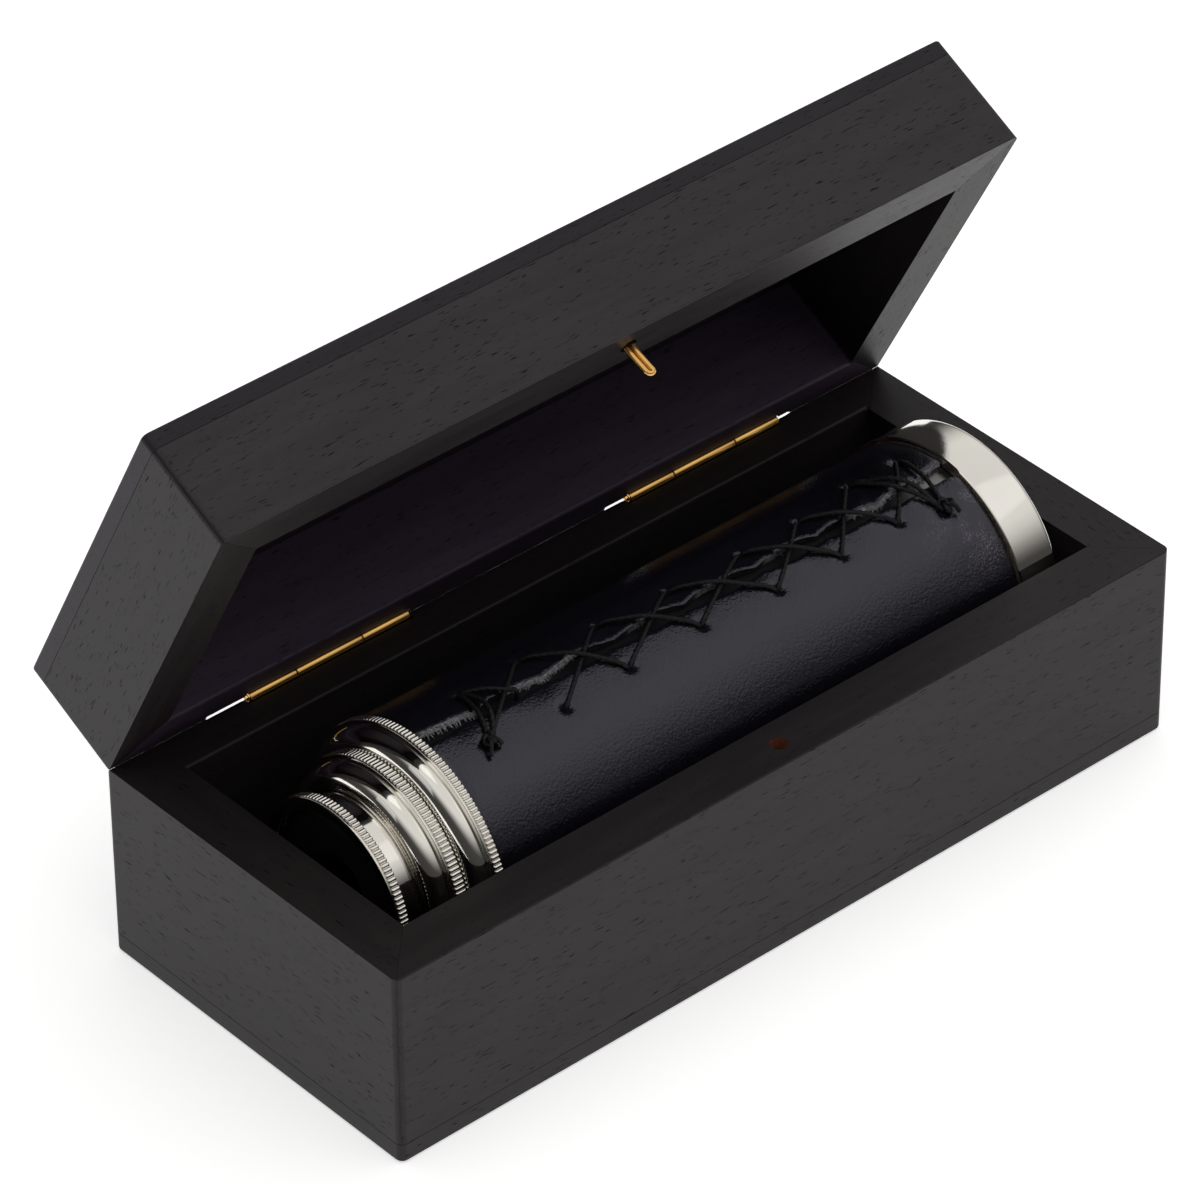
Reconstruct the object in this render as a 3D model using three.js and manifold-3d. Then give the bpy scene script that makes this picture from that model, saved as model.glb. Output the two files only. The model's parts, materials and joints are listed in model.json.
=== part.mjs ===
// A leather-covered kaleidoscope lying in its hinged wooden case.
// Frame: millimetres, +X along the case, +Y to its back, +Z up, origin at the middle of the underside.
// The lid is modelled at its resting angle, and the kaleidoscope rests on the floor of the case.
import * as THREE from "three";
import { mergeVertices } from "three/addons/utils/BufferGeometryUtils.js";
import Module from "manifold-3d";

const wasm = await Module();
wasm.setup();

// ---- driving dimensions -------------------------------------------------------------------------

// Case
const CASE_LENGTH = 160;
const CASE_WIDTH = 68.8;
const WALL = 9.3;
const BACK_WALL = 8.4;
const BASE_HEIGHT = 35.5;
const LID_HEIGHT = 20.5;
const FLOOR_PANEL = 3.4;
const TOP_PANEL = 3;
const CORNER_RADIUS = 1.3;
const GLUE_LINE = 0.05;
const RIM_GAP = 0.02; // from the hinge axis's level to each rim
const LID_OPEN_DEG = 62.7;

// Hinges: barrels along the back rim, leaves pushed into saw kerfs
const HINGE_INSET = 1.1; // from the back face to the hinge axis
const RELIEF_DEG = 49; // slope of the bevels behind the hinge axis, which stop the lid at twice this
const HINGES = [
  { side: "left", barrelX: -37, kerfX: -41 },
  { side: "right", barrelX: 41.2, kerfX: 40.5 },
];
const BARREL_RADIUS = 1.2;
const BARREL_CLEARANCE = 0.25;
const END_KNUCKLE = 9.3;
const MIDDLE_KNUCKLE = 13;
const KNUCKLE_GAP = 0.2;
const BARREL_LENGTH = 2 * END_KNUCKLE + MIDDLE_KNUCKLE + 2 * KNUCKLE_GAP;
const PIN_RADIUS = 0.5;
const PIN_CLEARANCE = 0.09;
const LEAF_WIDTH = 20;
const LEAF_DEPTH = 5;
const LEAF_THICKNESS = 0.6;
const KERF_THICKNESS = 1.3;
const KERF_DEPTH = 7;
const KERF_FLAT = 16; // flat-bottomed stretch between the two round run-outs
const SAW_RADIUS = 14;

// Catch: a folded brass wire in the lid's front rim, and its hole in the base's front rim
const CATCH_X = 0.3;
const CATCH_FROM_FRONT = 4.5;
const CATCH_WIRE = 0.95;
const CATCH_PITCH = 1.3; // between the two legs' centres
const CATCH_OUT = 6;
const CATCH_IN = 5;
const CATCH_HOLE_RADIUS = 1.5;
const CATCH_HOLE_DEPTH = 7.5;

// Kaleidoscope, measured along its own axis from the middle of the case
const SCOPE_RADIUS = 22; // the two largest rings, on which it lies
const REST_GAP = 0.25;
const EYE_END = -65.8;
const EYE_RING_WIDTH = 2;
const EYE_RING_RADIUS = 15.8;
const DRAW_RADIUS = 14.3;
const DRAW_BORE = 13.3;
const DRAW_INNER_END = -48.4;
const SLIDE_GAP = 0.15;
const MOUNT_START = -60.4;
const MOUNT_NOSE_RADIUS = 15.3;
const MOUNT_RING_START = -57;
const MOUNT_RING_END = -54.6;
const MOUNT_RING_RADIUS = 18.8;
const FERRULE_RING_START = -51.3;
const FERRULE_RING_END = -49.3;
const LEATHER_END = 58.1;
const LEATHER_INNER = 20.3;
const LEATHER_RADIUS = 21.5;
const TUBE_RADIUS = 20.2;
const TUBE_BORE = 19.4;
const TUBE_END = 62;
const CELL_RING_START = 58.4;
const CELL_RING_END = 66.5;

// Lacing, on angles round the tube from +Y over the top
const SEAM_DEG = 98;
const SEAM_GAP_MM = 2.4;
const LACE_HALF_DEG = 14;
const LACE_CORD = 0.7;
const LACE_LIFT = 0.5; // of the upper strand where two cross
const LACE_PAIRS = 8;
const LACE_FIRST = -39.6;
const LACE_PITCH = 15.3;
const LACE_SHRINK = 0.27; // each pitch is a little shorter than the one before

// Inside the tube
const MIRROR_START = -43;
const MIRROR_END = 50;
const MIRROR_WIDTH = 27;
const MIRROR_THICKNESS = 2;
const PACKING_RADIUS = 18.2;
const PACKING_TRIM = 0.12; // radians off each edge
const PACKING_SET_BACK = 4; // from each end of the mirrors
const EYE_STOP_RADIUS = 9;
const CELL_START = 51.5;
const CELL_SLEEVE_RADIUS = 19;
const CELL_BORE = 17.6;
const CELL_LIP_RADIUS = 16.4;
const CELL_LIP_THICKNESS = 1;
const CELL_ROUND = 0.9;
const CELL_CHAMFER = 0.2;
const CELL_GROOVE_OFFSET = 3; // from the sleeve's inner end to its groove
const CELL_GROOVE_WIDTH = 2.4;
const CELL_GROOVE_WALL = 0.5; // left under the groove
const GUIDE_CLEARANCE = 0.4;
const SPACER_WALL = 1.2;
const LOCK_RING_WIDTH = 1.6;
const GLASS = 1.4;
const CHIP_SIZE = 2.6;

// Small parts of the eyepiece and the collars
const EDGE = 0.6; // thickness of a turned-in lip
const DISC_THICKNESS = 1.4;
const PEEPHOLE_RADIUS = 4.5;
const LENS_EDGE = 1.2;
const LENS_BULGE = 1.6;
const LOCK_WIDTH = 1.5;
const LOCK_DEPTH = 0.9;
const SPIGOT_RADIUS = 17.2; // the mount's spigot, inside the ferrule
const SHOULDER = 0.8; // step up from a collar's body to its knurled ring
const GROOVE = 0.4; // along the tube, beside each knurled ring
const FERRULE_SOCKET = 3; // how far the ferrule's inner sleeve goes into the tube, past its ring

const SEGMENTS = 48;
const CLEAR = 0.1; // between glued pieces that touch on round faces

const BACK = CASE_WIDTH / 2;
const SCOPE_Y = -BACK + WALL + SCOPE_RADIUS + 2 * REST_GAP;
const SCOPE_Z = FLOOR_PANEL + SCOPE_RADIUS + REST_GAP;

// ---- materials ----------------------------------------------------------------------------------

function finish(color, roughness, metalness) {
  return new THREE.MeshStandardMaterial({ color, roughness, metalness });
}

const MATERIALS = {
  wood: finish(0x3c3a3c, 0.55, 0),
  brass: finish(0xc9a24a, 0.3, 1),
  nickel: finish(0xcdc8bd, 0.15, 1),
  leather: finish(0x26262e, 0.5, 0),
  cord: finish(0x151516, 0.8, 0),
  blackened: finish(0x0c0c0d, 0.6, 0),
  glass: finish(0xe6f0f0, 0.05, 0),
  frosted: finish(0xeceeec, 0.6, 0),
  mirror: finish(0xd8dcdf, 0.03, 1),
  foam: finish(0x3a3a3a, 0.95, 0),
  card: finish(0x8a6f4d, 0.9, 0),
  red: finish(0xb3202a, 0.2, 0),
  blue: finish(0x2348a8, 0.2, 0),
  green: finish(0x1f8a4a, 0.2, 0),
  amber: finish(0xd9912a, 0.2, 0),
};

// ---- solids -------------------------------------------------------------------------------------

function solidOf(geometry) {
  const bare = geometry.clone();
  bare.deleteAttribute("normal");
  bare.deleteAttribute("uv");
  const merged = mergeVertices(bare, 1e-4);
  return new wasm.Manifold(
    new wasm.Mesh({
      numProp: 3,
      vertProperties: new Float32Array(merged.attributes.position.array),
      triVerts: new Uint32Array(merged.index.array),
    }),
  );
}

function geometryOf(solid) {
  const mesh = solid.getMesh();
  const geometry = new THREE.BufferGeometry();
  geometry.setAttribute("position", new THREE.BufferAttribute(mesh.vertProperties, 3));
  geometry.setIndex(new THREE.BufferAttribute(mesh.triVerts, 1));
  return geometry;
}

function cut(from, ...tools) {
  return tools.reduce((solid, tool) => solid.subtract(solidOf(tool)), from);
}

function join(first, ...others) {
  return others.reduce((solid, other) => solid.add(solidOf(other)), solidOf(first));
}

// A box between two corners.
function block(x0, y0, z0, x1, y1, z1) {
  const geometry = new THREE.BoxGeometry(x1 - x0, y1 - y0, z1 - z0);
  return geometry.translate((x0 + x1) / 2, (y0 + y1) / 2, (z0 + z1) / 2);
}

// A cylinder along X from x0 to x1.
function rod(x0, x1, radius, sides = SEGMENTS) {
  const geometry = new THREE.CylinderGeometry(radius, radius, x1 - x0, sides);
  return geometry.rotateZ(-Math.PI / 2).translate((x0 + x1) / 2, 0, 0);
}

// A closed profile of [x, radius] points turned round the X axis.
function turned(profile, sides = SEGMENTS) {
  const points = profile.map(([x, radius]) => new THREE.Vector2(radius, x));
  const onAxis = points[0].x === 0 && points[points.length - 1].x === 0;
  if (!onAxis) points.push(points[0].clone());
  if (THREE.ShapeUtils.area(points) < 0) points.reverse();
  return new THREE.LatheGeometry(points, sides).rotateZ(-Math.PI / 2);
}

// A plain ring between two radii.
function ring(x0, x1, inner, outer, sides = SEGMENTS) {
  return turned(
    [
      [x0, inner],
      [x1, inner],
      [x1, outer],
      [x0, outer],
    ],
    sides,
  );
}

// A disc from x0 to x1.
function disc(x0, x1, radius, sides = SEGMENTS) {
  return turned(
    [
      [x0, 0],
      [x1, 0],
      [x1, radius],
      [x0, radius],
      [x0, 0],
    ],
    sides,
  );
}

// Points of a quarter-round moulding from one [x, radius] corner to another, bulging outwards.
function ovolo([x0, r0], [x1, r1], steps = 5) {
  return Array.from({ length: steps + 1 }, (_, i) => {
    const angle = ((i / steps) * Math.PI) / 2;
    return [x0 + (x1 - x0) * (1 - Math.cos(angle)), r0 + (r1 - r0) * Math.sin(angle)];
  });
}

// A prism of an outline in the YZ plane, from x0 to x1.
function alongX(outline, x0, x1) {
  const shape = outline instanceof THREE.Shape ? outline : new THREE.Shape(outline);
  const settings = { depth: x1 - x0, bevelEnabled: false, curveSegments: 24 };
  const geometry = new THREE.ExtrudeGeometry(shape, settings);
  // The shape's (x, y) becomes (Y, Z), and its depth becomes X.
  geometry.applyMatrix4(
    new THREE.Matrix4().makeBasis(
      new THREE.Vector3(0, 1, 0),
      new THREE.Vector3(0, 0, 1),
      new THREE.Vector3(1, 0, 0),
    ),
  );
  return geometry.translate(x0, 0, 0);
}

// A round cord along a route of points.
function cordAlong(route, diameter, sides = 6, steps = 8) {
  const section = new THREE.Shape();
  section.absarc(0, 0, diameter / 2, 0, 2 * Math.PI);
  const curve = new THREE.CatmullRomCurve3(route);
  return new THREE.ExtrudeGeometry(section, {
    extrudePath: curve,
    steps,
    curveSegments: sides,
    bevelEnabled: false,
  });
}

// ---- assembly -----------------------------------------------------------------------------------

const part = new THREE.Group();

function addNode(parent, name, solid, material) {
  const geometry = solid.isBufferGeometry ? solid : geometryOf(solid);
  const mesh = new THREE.Mesh(geometry, material);
  mesh.name = name;
  parent.add(mesh);
  return mesh;
}

// ---- the case -----------------------------------------------------------------------------------

function caseOutline() {
  const x = CASE_LENGTH / 2;
  const y = CASE_WIDTH / 2;
  const r = CORNER_RADIUS;
  const shape = new THREE.Shape();
  shape.absarc(x - r, -y + r, r, -Math.PI / 2, 0);
  shape.absarc(x - r, y - r, r, 0, Math.PI / 2);
  shape.absarc(-x + r, y - r, r, Math.PI / 2, Math.PI);
  shape.absarc(-x + r, -y + r, r, Math.PI, 1.5 * Math.PI);
  return shape;
}

function panel(z0, z1) {
  const settings = { depth: z1 - z0, bevelEnabled: false, curveSegments: 3 };
  return new THREE.ExtrudeGeometry(caseOutline(), settings).translate(0, 0, z0);
}

// The four walls as one frame, before the mitres are sawn.
function wallFrame(z0, z1) {
  const x = CASE_LENGTH / 2 - WALL;
  const front = WALL - BACK;
  return cut(solidOf(panel(z0, z1)), block(-x, front, z0 - 1, x, BACK - BACK_WALL, z1 + 1));
}

// The part of a frame that one wall keeps, between its two mitres.
function mitreWedge(wall) {
  const lengthwise = wall === "front" || wall === "back";
  const half = (lengthwise ? CASE_LENGTH : CASE_WIDTH) / 2 - GLUE_LINE / 2;
  const face = (lengthwise ? CASE_WIDTH : CASE_LENGTH) / 2;
  const reach = WALL + 1;
  const outline = [
    new THREE.Vector2(-half - 1, -face - 1),
    new THREE.Vector2(half + 1, -face - 1),
    new THREE.Vector2(half - reach, -face + reach),
    new THREE.Vector2(-half + reach, -face + reach),
  ];
  const settings = { depth: 200, bevelEnabled: false };
  const wedge = new THREE.ExtrudeGeometry(new THREE.Shape(outline), settings).translate(0, 0, -100);
  const turns = { front: 0, right: 1, back: 2, left: 3 };
  return wedge.rotateZ((turns[wall] * Math.PI) / 2);
}

function addWalls(group, frame, prefix, shiftY) {
  for (const wall of ["front", "right", "back", "left"]) {
    const wedge = mitreWedge(wall).translate(0, shiftY, 0);
    addNode(group, `${prefix}_${wall}_wall`, frame.intersect(solidOf(wedge)), MATERIALS.wood);
  }
}

// The saw kerf that takes a hinge leaf: flat-bottomed with round run-outs, in the XZ plane, going up
// from z = 0 when side is 1 and down when it is -1.
function kerf(centreX, axisY, side) {
  const half = KERF_FLAT / 2;
  const rise = SAW_RADIUS - KERF_DEPTH;
  const sweep = Math.acos(rise / SAW_RADIUS);
  const shape = new THREE.Shape();
  shape.absarc(half, -rise, SAW_RADIUS, Math.PI / 2 - sweep, Math.PI / 2);
  shape.absarc(-half, -rise, SAW_RADIUS, Math.PI / 2, Math.PI / 2 + sweep);
  const outerX = half + SAW_RADIUS * Math.sin(sweep);
  shape.lineTo(-outerX, -1);
  shape.lineTo(outerX, -1);
  const settings = { depth: KERF_THICKNESS, bevelEnabled: false, curveSegments: 8 };
  const slot = new THREE.ExtrudeGeometry(shape, settings).translate(0, 0, -KERF_THICKNESS / 2);
  slot.rotateX((side * Math.PI) / 2);
  return slot.translate(centreX, axisY, 0);
}

// What both frames lose along the back edge: the bevel, the barrels' grooves and the kerfs.
// axisY is the hinge axis's place in the frame, with z = 0 at its level.
function hingeCuts(axisY, side) {
  const reach = CASE_LENGTH;
  const slope = Math.tan((RELIEF_DEG * Math.PI) / 180);
  const far = 3;
  const bevel = alongX(
    [
      new THREE.Vector2(axisY, side * RIM_GAP),
      new THREE.Vector2(axisY + far, side * (RIM_GAP + slope * far)),
      new THREE.Vector2(axisY + far, -side * far),
      new THREE.Vector2(axisY, -side * far),
    ],
    -reach,
    reach,
  );
  const cuts = [bevel];
  for (const hinge of HINGES) {
    const half = BARREL_LENGTH / 2 + 2 * BARREL_CLEARANCE;
    const radius = BARREL_RADIUS + BARREL_CLEARANCE;
    cuts.push(rod(hinge.barrelX - half, hinge.barrelX + half, radius, 16).translate(0, axisY, 0));
    cuts.push(kerf(hinge.kerfX, axisY, side));
  }
  return cuts;
}

function catchHole(axisY, side, depth) {
  const hole = new THREE.CylinderGeometry(CATCH_HOLE_RADIUS, CATCH_HOLE_RADIUS, 2 * depth, 16);
  return hole.rotateX(Math.PI / 2).translate(CATCH_X, axisY, side * RIM_GAP);
}

function buildBase(group) {
  const axisY = BACK - HINGE_INSET;
  const bottom = FLOOR_PANEL + GLUE_LINE - BASE_HEIGHT;
  const frame = cut(
    wallFrame(bottom, -RIM_GAP),
    ...hingeCuts(axisY, -1),
    catchHole(-BACK + CATCH_FROM_FRONT, -1, CATCH_HOLE_DEPTH),
  );
  const walls = new THREE.Group();
  walls.position.z = BASE_HEIGHT;
  group.add(walls);
  addWalls(walls, frame, "base", 0);
  addNode(group, "base_floor_panel", panel(0, FLOOR_PANEL), MATERIALS.wood);
}

// The lid's own frame has the hinge axis at y = 0, z = 0, and its front along -Y when it is shut.
function buildLid(lid) {
  const shiftY = HINGE_INSET - BACK;
  const top = LID_HEIGHT - TOP_PANEL;
  const walls = solidOf(geometryOf(wallFrame(RIM_GAP, top - GLUE_LINE)).translate(0, shiftY, 0));
  const catchY = shiftY - BACK + CATCH_FROM_FRONT;
  const frame = cut(walls, ...hingeCuts(0, 1), catchHole(catchY, 1, CATCH_IN + 1));
  addWalls(lid, frame, "lid", shiftY);
  addNode(lid, "lid_top_panel", panel(top, LID_HEIGHT).translate(0, shiftY, 0), MATERIALS.wood);
  addNode(lid, "catch_pin", catchWire(catchY), MATERIALS.brass);
}

// A wire folded double: two legs in the lid and a round bend at the tip, which points down.
function catchWire(y) {
  const half = CATCH_PITCH / 2;
  const tip = -CATCH_OUT + CATCH_WIRE / 2 + half;
  const bend = [0.25, 0.5, 0.75].map((t) => {
    const angle = Math.PI + t * Math.PI;
    return new THREE.Vector3(CATCH_X + half * Math.cos(angle), y, tip + half * Math.sin(angle));
  });
  const route = [
    new THREE.Vector3(CATCH_X - half, y, CATCH_IN),
    new THREE.Vector3(CATCH_X - half, y, tip / 2),
    new THREE.Vector3(CATCH_X - half, y, tip),
    ...bend,
    new THREE.Vector3(CATCH_X + half, y, tip),
    new THREE.Vector3(CATCH_X + half, y, tip / 2),
    new THREE.Vector3(CATCH_X + half, y, CATCH_IN),
  ];
  return solidOf(cordAlong(route, CATCH_WIRE, 6, 40));
}

// A hinge leaf: a plate with its own knuckles on the axis, cleared round the other leaf's.
function hingeLeaf(centreX, side, knuckles, others) {
  const half = LEAF_THICKNESS / 2;
  const z = [0, side * LEAF_DEPTH].sort((a, b) => a - b);
  const left = centreX - LEAF_WIDTH / 2;
  const plate = block(left, -half, z[0], left + LEAF_WIDTH, half, z[1]);
  const own = knuckles.map(([x0, x1]) => rod(x0, x1, BARREL_RADIUS, 16));
  const clearance = BARREL_RADIUS + BARREL_CLEARANCE;
  const rooms = others.map(([x0, x1]) => rod(x0 - KNUCKLE_GAP, x1 + KNUCKLE_GAP, clearance, 16));
  const bore = rod(centreX - BARREL_LENGTH, centreX + BARREL_LENGTH, PIN_RADIUS + PIN_CLEARANCE, 12);
  const cleared = cut(solidOf(plate), ...rooms);
  return cut(own.reduce((solid, knuckle) => solid.add(solidOf(knuckle)), cleared), bore);
}

function buildHinges(baseGroup, lid) {
  for (const { side, barrelX } of HINGES) {
    const start = barrelX - BARREL_LENGTH / 2;
    const end = barrelX + BARREL_LENGTH / 2;
    const middle = [start + END_KNUCKLE + KNUCKLE_GAP, end - END_KNUCKLE - KNUCKLE_GAP];
    const outer = [
      [start, start + END_KNUCKLE],
      [end - END_KNUCKLE, end],
    ];
    const baseLeaf = hingeLeaf(barrelX, -1, outer, [middle]);
    const lidLeaf = hingeLeaf(barrelX, 1, [middle], outer);
    addNode(baseGroup, `${side}_hinge_base_leaf`, baseLeaf, MATERIALS.brass);
    addNode(baseGroup, `${side}_hinge_pin`, rod(start, end, PIN_RADIUS, 12), MATERIALS.brass);
    addNode(lid, `${side}_hinge_lid_leaf`, lidLeaf, MATERIALS.brass);
  }
}

// ---- the kaleidoscope ---------------------------------------------------------------------------

// The eyepiece that slides in the mount: draw tube, eye ring, peephole disc, lens and its ring.
function buildEyepiece(scope) {
  const ringEnd = EYE_END + EYE_RING_WIDTH;
  addNode(
    scope,
    "eyepiece_ring",
    turned([
      [EYE_END, DRAW_RADIUS - EDGE],
      [EYE_END, EYE_RING_RADIUS - EDGE],
      [EYE_END + EDGE / 2, EYE_RING_RADIUS],
      [ringEnd, EYE_RING_RADIUS],
      [ringEnd, DRAW_RADIUS + CLEAR],
      [EYE_END + EDGE, DRAW_RADIUS + CLEAR],
      [EYE_END + EDGE, DRAW_RADIUS - EDGE],
    ]),
    MATERIALS.nickel,
  );
  const tubeStart = EYE_END + EDGE + CLEAR;
  const tube = ring(tubeStart, DRAW_INNER_END, DRAW_BORE, DRAW_RADIUS);
  addNode(scope, "eyepiece_draw_tube", tube, MATERIALS.nickel);
  const discStart = tubeStart + EDGE;
  const discEnd = discStart + DISC_THICKNESS;
  const inner = DRAW_BORE - CLEAR;
  addNode(
    scope,
    "eyepiece_disc",
    turned([
      [discStart, PEEPHOLE_RADIUS + 2],
      [discStart, inner],
      [discEnd, inner],
      [discEnd, PEEPHOLE_RADIUS],
      [discEnd - EDGE, PEEPHOLE_RADIUS],
    ]),
    MATERIALS.blackened,
  );
  const lensStart = discEnd + CLEAR;
  const lensShoulder = lensStart + LENS_EDGE;
  const lens = [
    [lensStart, 0],
    [lensStart, inner],
    [lensShoulder, inner],
  ];
  for (const share of [0.8, 0.55, 0.3, 0]) {
    lens.push([lensShoulder + LENS_BULGE * (1 - share * share), inner * share]);
  }
  addNode(scope, "eye_lens", turned(lens, 32), MATERIALS.glass);
  const lockStart = lensShoulder + CLEAR + EDGE;
  const lock = ring(lockStart, lockStart + LOCK_WIDTH, inner - LOCK_DEPTH, inner);
  addNode(scope, "lens_lock_ring", lock, MATERIALS.blackened);
}

// The two fixed collars at the eye end: the sliding eyepiece's mount, and the ferrule on the tube.
function buildCollars(scope) {
  const guide = DRAW_RADIUS + SLIDE_GAP;
  const mountShoulder = MOUNT_RING_RADIUS - SHOULDER;
  addNode(
    scope,
    "eyepiece_mount",
    turned([
      [MOUNT_START, guide],
      ...ovolo([MOUNT_START, MOUNT_NOSE_RADIUS], [MOUNT_RING_START - GROOVE, mountShoulder]),
      [MOUNT_RING_START, mountShoulder],
      [MOUNT_RING_START, MOUNT_RING_RADIUS],
      [MOUNT_RING_END, MOUNT_RING_RADIUS],
      [MOUNT_RING_END, SPIGOT_RADIUS],
      [FERRULE_RING_END, SPIGOT_RADIUS],
      [FERRULE_RING_END, guide],
    ]),
    MATERIALS.nickel,
  );
  const bodyStart = MOUNT_RING_END + CLEAR;
  const socketEnd = FERRULE_RING_END + FERRULE_SOCKET;
  const ferruleShoulder = SCOPE_RADIUS - SHOULDER;
  addNode(
    scope,
    "tube_ferrule",
    turned([
      [bodyStart, SPIGOT_RADIUS + CLEAR],
      ...ovolo([bodyStart, MOUNT_RING_RADIUS - EDGE], [FERRULE_RING_START - GROOVE, ferruleShoulder]),
      [FERRULE_RING_START, ferruleShoulder],
      [FERRULE_RING_START, SCOPE_RADIUS],
      [FERRULE_RING_END, SCOPE_RADIUS],
      [FERRULE_RING_END, TUBE_RADIUS + CLEAR],
      [FERRULE_RING_START + EDGE, TUBE_RADIUS + CLEAR],
      [FERRULE_RING_START + EDGE, TUBE_BORE - CLEAR],
      [socketEnd, TUBE_BORE - CLEAR],
      [socketEnd, SPIGOT_RADIUS + CLEAR],
    ]),
    MATERIALS.nickel,
  );
}

// The covered tube: metal tube, leather wrap with an open seam, and the cord that laces the seam.
function buildTube(scope) {
  const start = FERRULE_RING_START + EDGE + CLEAR;
  addNode(scope, "barrel_tube", ring(start, TUBE_END, TUBE_BORE, TUBE_RADIUS), MATERIALS.nickel);
  const seam = (SEAM_DEG * Math.PI) / 180;
  const gap = SEAM_GAP_MM / 2 / LEATHER_RADIUS;
  const wrap = new THREE.Shape();
  wrap.absarc(0, 0, LEATHER_RADIUS, seam + gap, seam - gap + 2 * Math.PI);
  wrap.absarc(0, 0, LEATHER_INNER, seam - gap + 2 * Math.PI, seam + gap, true);
  const leather = alongX(wrap, FERRULE_RING_END + CLEAR, LEATHER_END);
  addNode(scope, "leather_wrap", leather, MATERIALS.leather);
  addNode(scope, "lacing_cord", lacing(), MATERIALS.cord);
}

function lacePosition(i) {
  return LACE_FIRST + LACE_PITCH * i - LACE_SHRINK * i * i;
}

// Crossed strands between the two rows of holes. The second strand of each cross passes over the first.
function lacing() {
  const onTube = (x, deg, radius) => {
    const angle = (deg * Math.PI) / 180;
    return new THREE.Vector3(x, radius * Math.cos(angle), radius * Math.sin(angle));
  };
  const low = LEATHER_RADIUS + LACE_CORD / 2 + CLEAR;
  const strands = [];
  for (let i = 0; i < LACE_PAIRS - 1; i++) {
    for (const direction of [-1, 1]) {
      const lift = direction > 0 ? LACE_LIFT : 0;
      const route = [-1, -0.5, 0, 0.5, 1].map((t) => {
        const x = THREE.MathUtils.lerp(lacePosition(i), lacePosition(i + 1), (t + 1) / 2);
        const radius = low + lift * (1 - t * t);
        return onTube(x, SEAM_DEG + direction * t * LACE_HALF_DEG, radius);
      });
      strands.push(cordAlong(route, LACE_CORD, 3, 6));
    }
  }
  for (const i of [0, LACE_PAIRS - 1]) {
    const x = lacePosition(i);
    const route = [-1, -0.5, 0, 0.5, 1].map((t) => onTube(x, SEAM_DEG + t * LACE_HALF_DEG, low));
    strands.push(cordAlong(route, LACE_CORD, 3, 6));
  }
  return join(strands[0], ...strands.slice(1));
}

// Three long mirrors set as a triangle, each overlapping the next, with foam packing behind each.
function buildMirrors(scope) {
  const inset = MIRROR_WIDTH / (2 * Math.sqrt(3));
  const plateBack = -inset - MIRROR_THICKNESS;
  const chord = inset + MIRROR_THICKNESS + 4 * CLEAR;
  const halfAngle = Math.acos(chord / PACKING_RADIUS) - PACKING_TRIM;
  for (let i = 0; i < 3; i++) {
    const turn = (i * 2 * Math.PI) / 3;
    const left = MIRROR_THICKNESS / Math.sqrt(3) - MIRROR_WIDTH / 2;
    const right = left + MIRROR_WIDTH - 4 * CLEAR;
    const plate = block(MIRROR_START, left, plateBack, MIRROR_END, right, -inset);
    addNode(scope, `mirror_${i + 1}`, plate.rotateX(turn), MATERIALS.mirror);
    const segment = new THREE.Shape();
    const down = -Math.PI / 2;
    segment.absarc(0, 0, PACKING_RADIUS, down - halfAngle, down + halfAngle);
    const foam = alongX(segment, MIRROR_START + PACKING_SET_BACK, MIRROR_END - PACKING_SET_BACK);
    addNode(scope, `mirror_packing_${i + 1}`, foam.rotateX(turn), MATERIALS.foam);
  }
  const linerStart = MIRROR_START - 2;
  const liner = ring(linerStart, MIRROR_END, PACKING_RADIUS + CLEAR, TUBE_BORE - CLEAR);
  addNode(scope, "mirror_liner_tube", liner, MATERIALS.card);
  const eyeStop = ring(linerStart, MIRROR_START - CLEAR, EYE_STOP_RADIUS, PACKING_RADIUS);
  addNode(scope, "mirror_eye_stop", eyeStop, MATERIALS.blackened);
}

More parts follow.
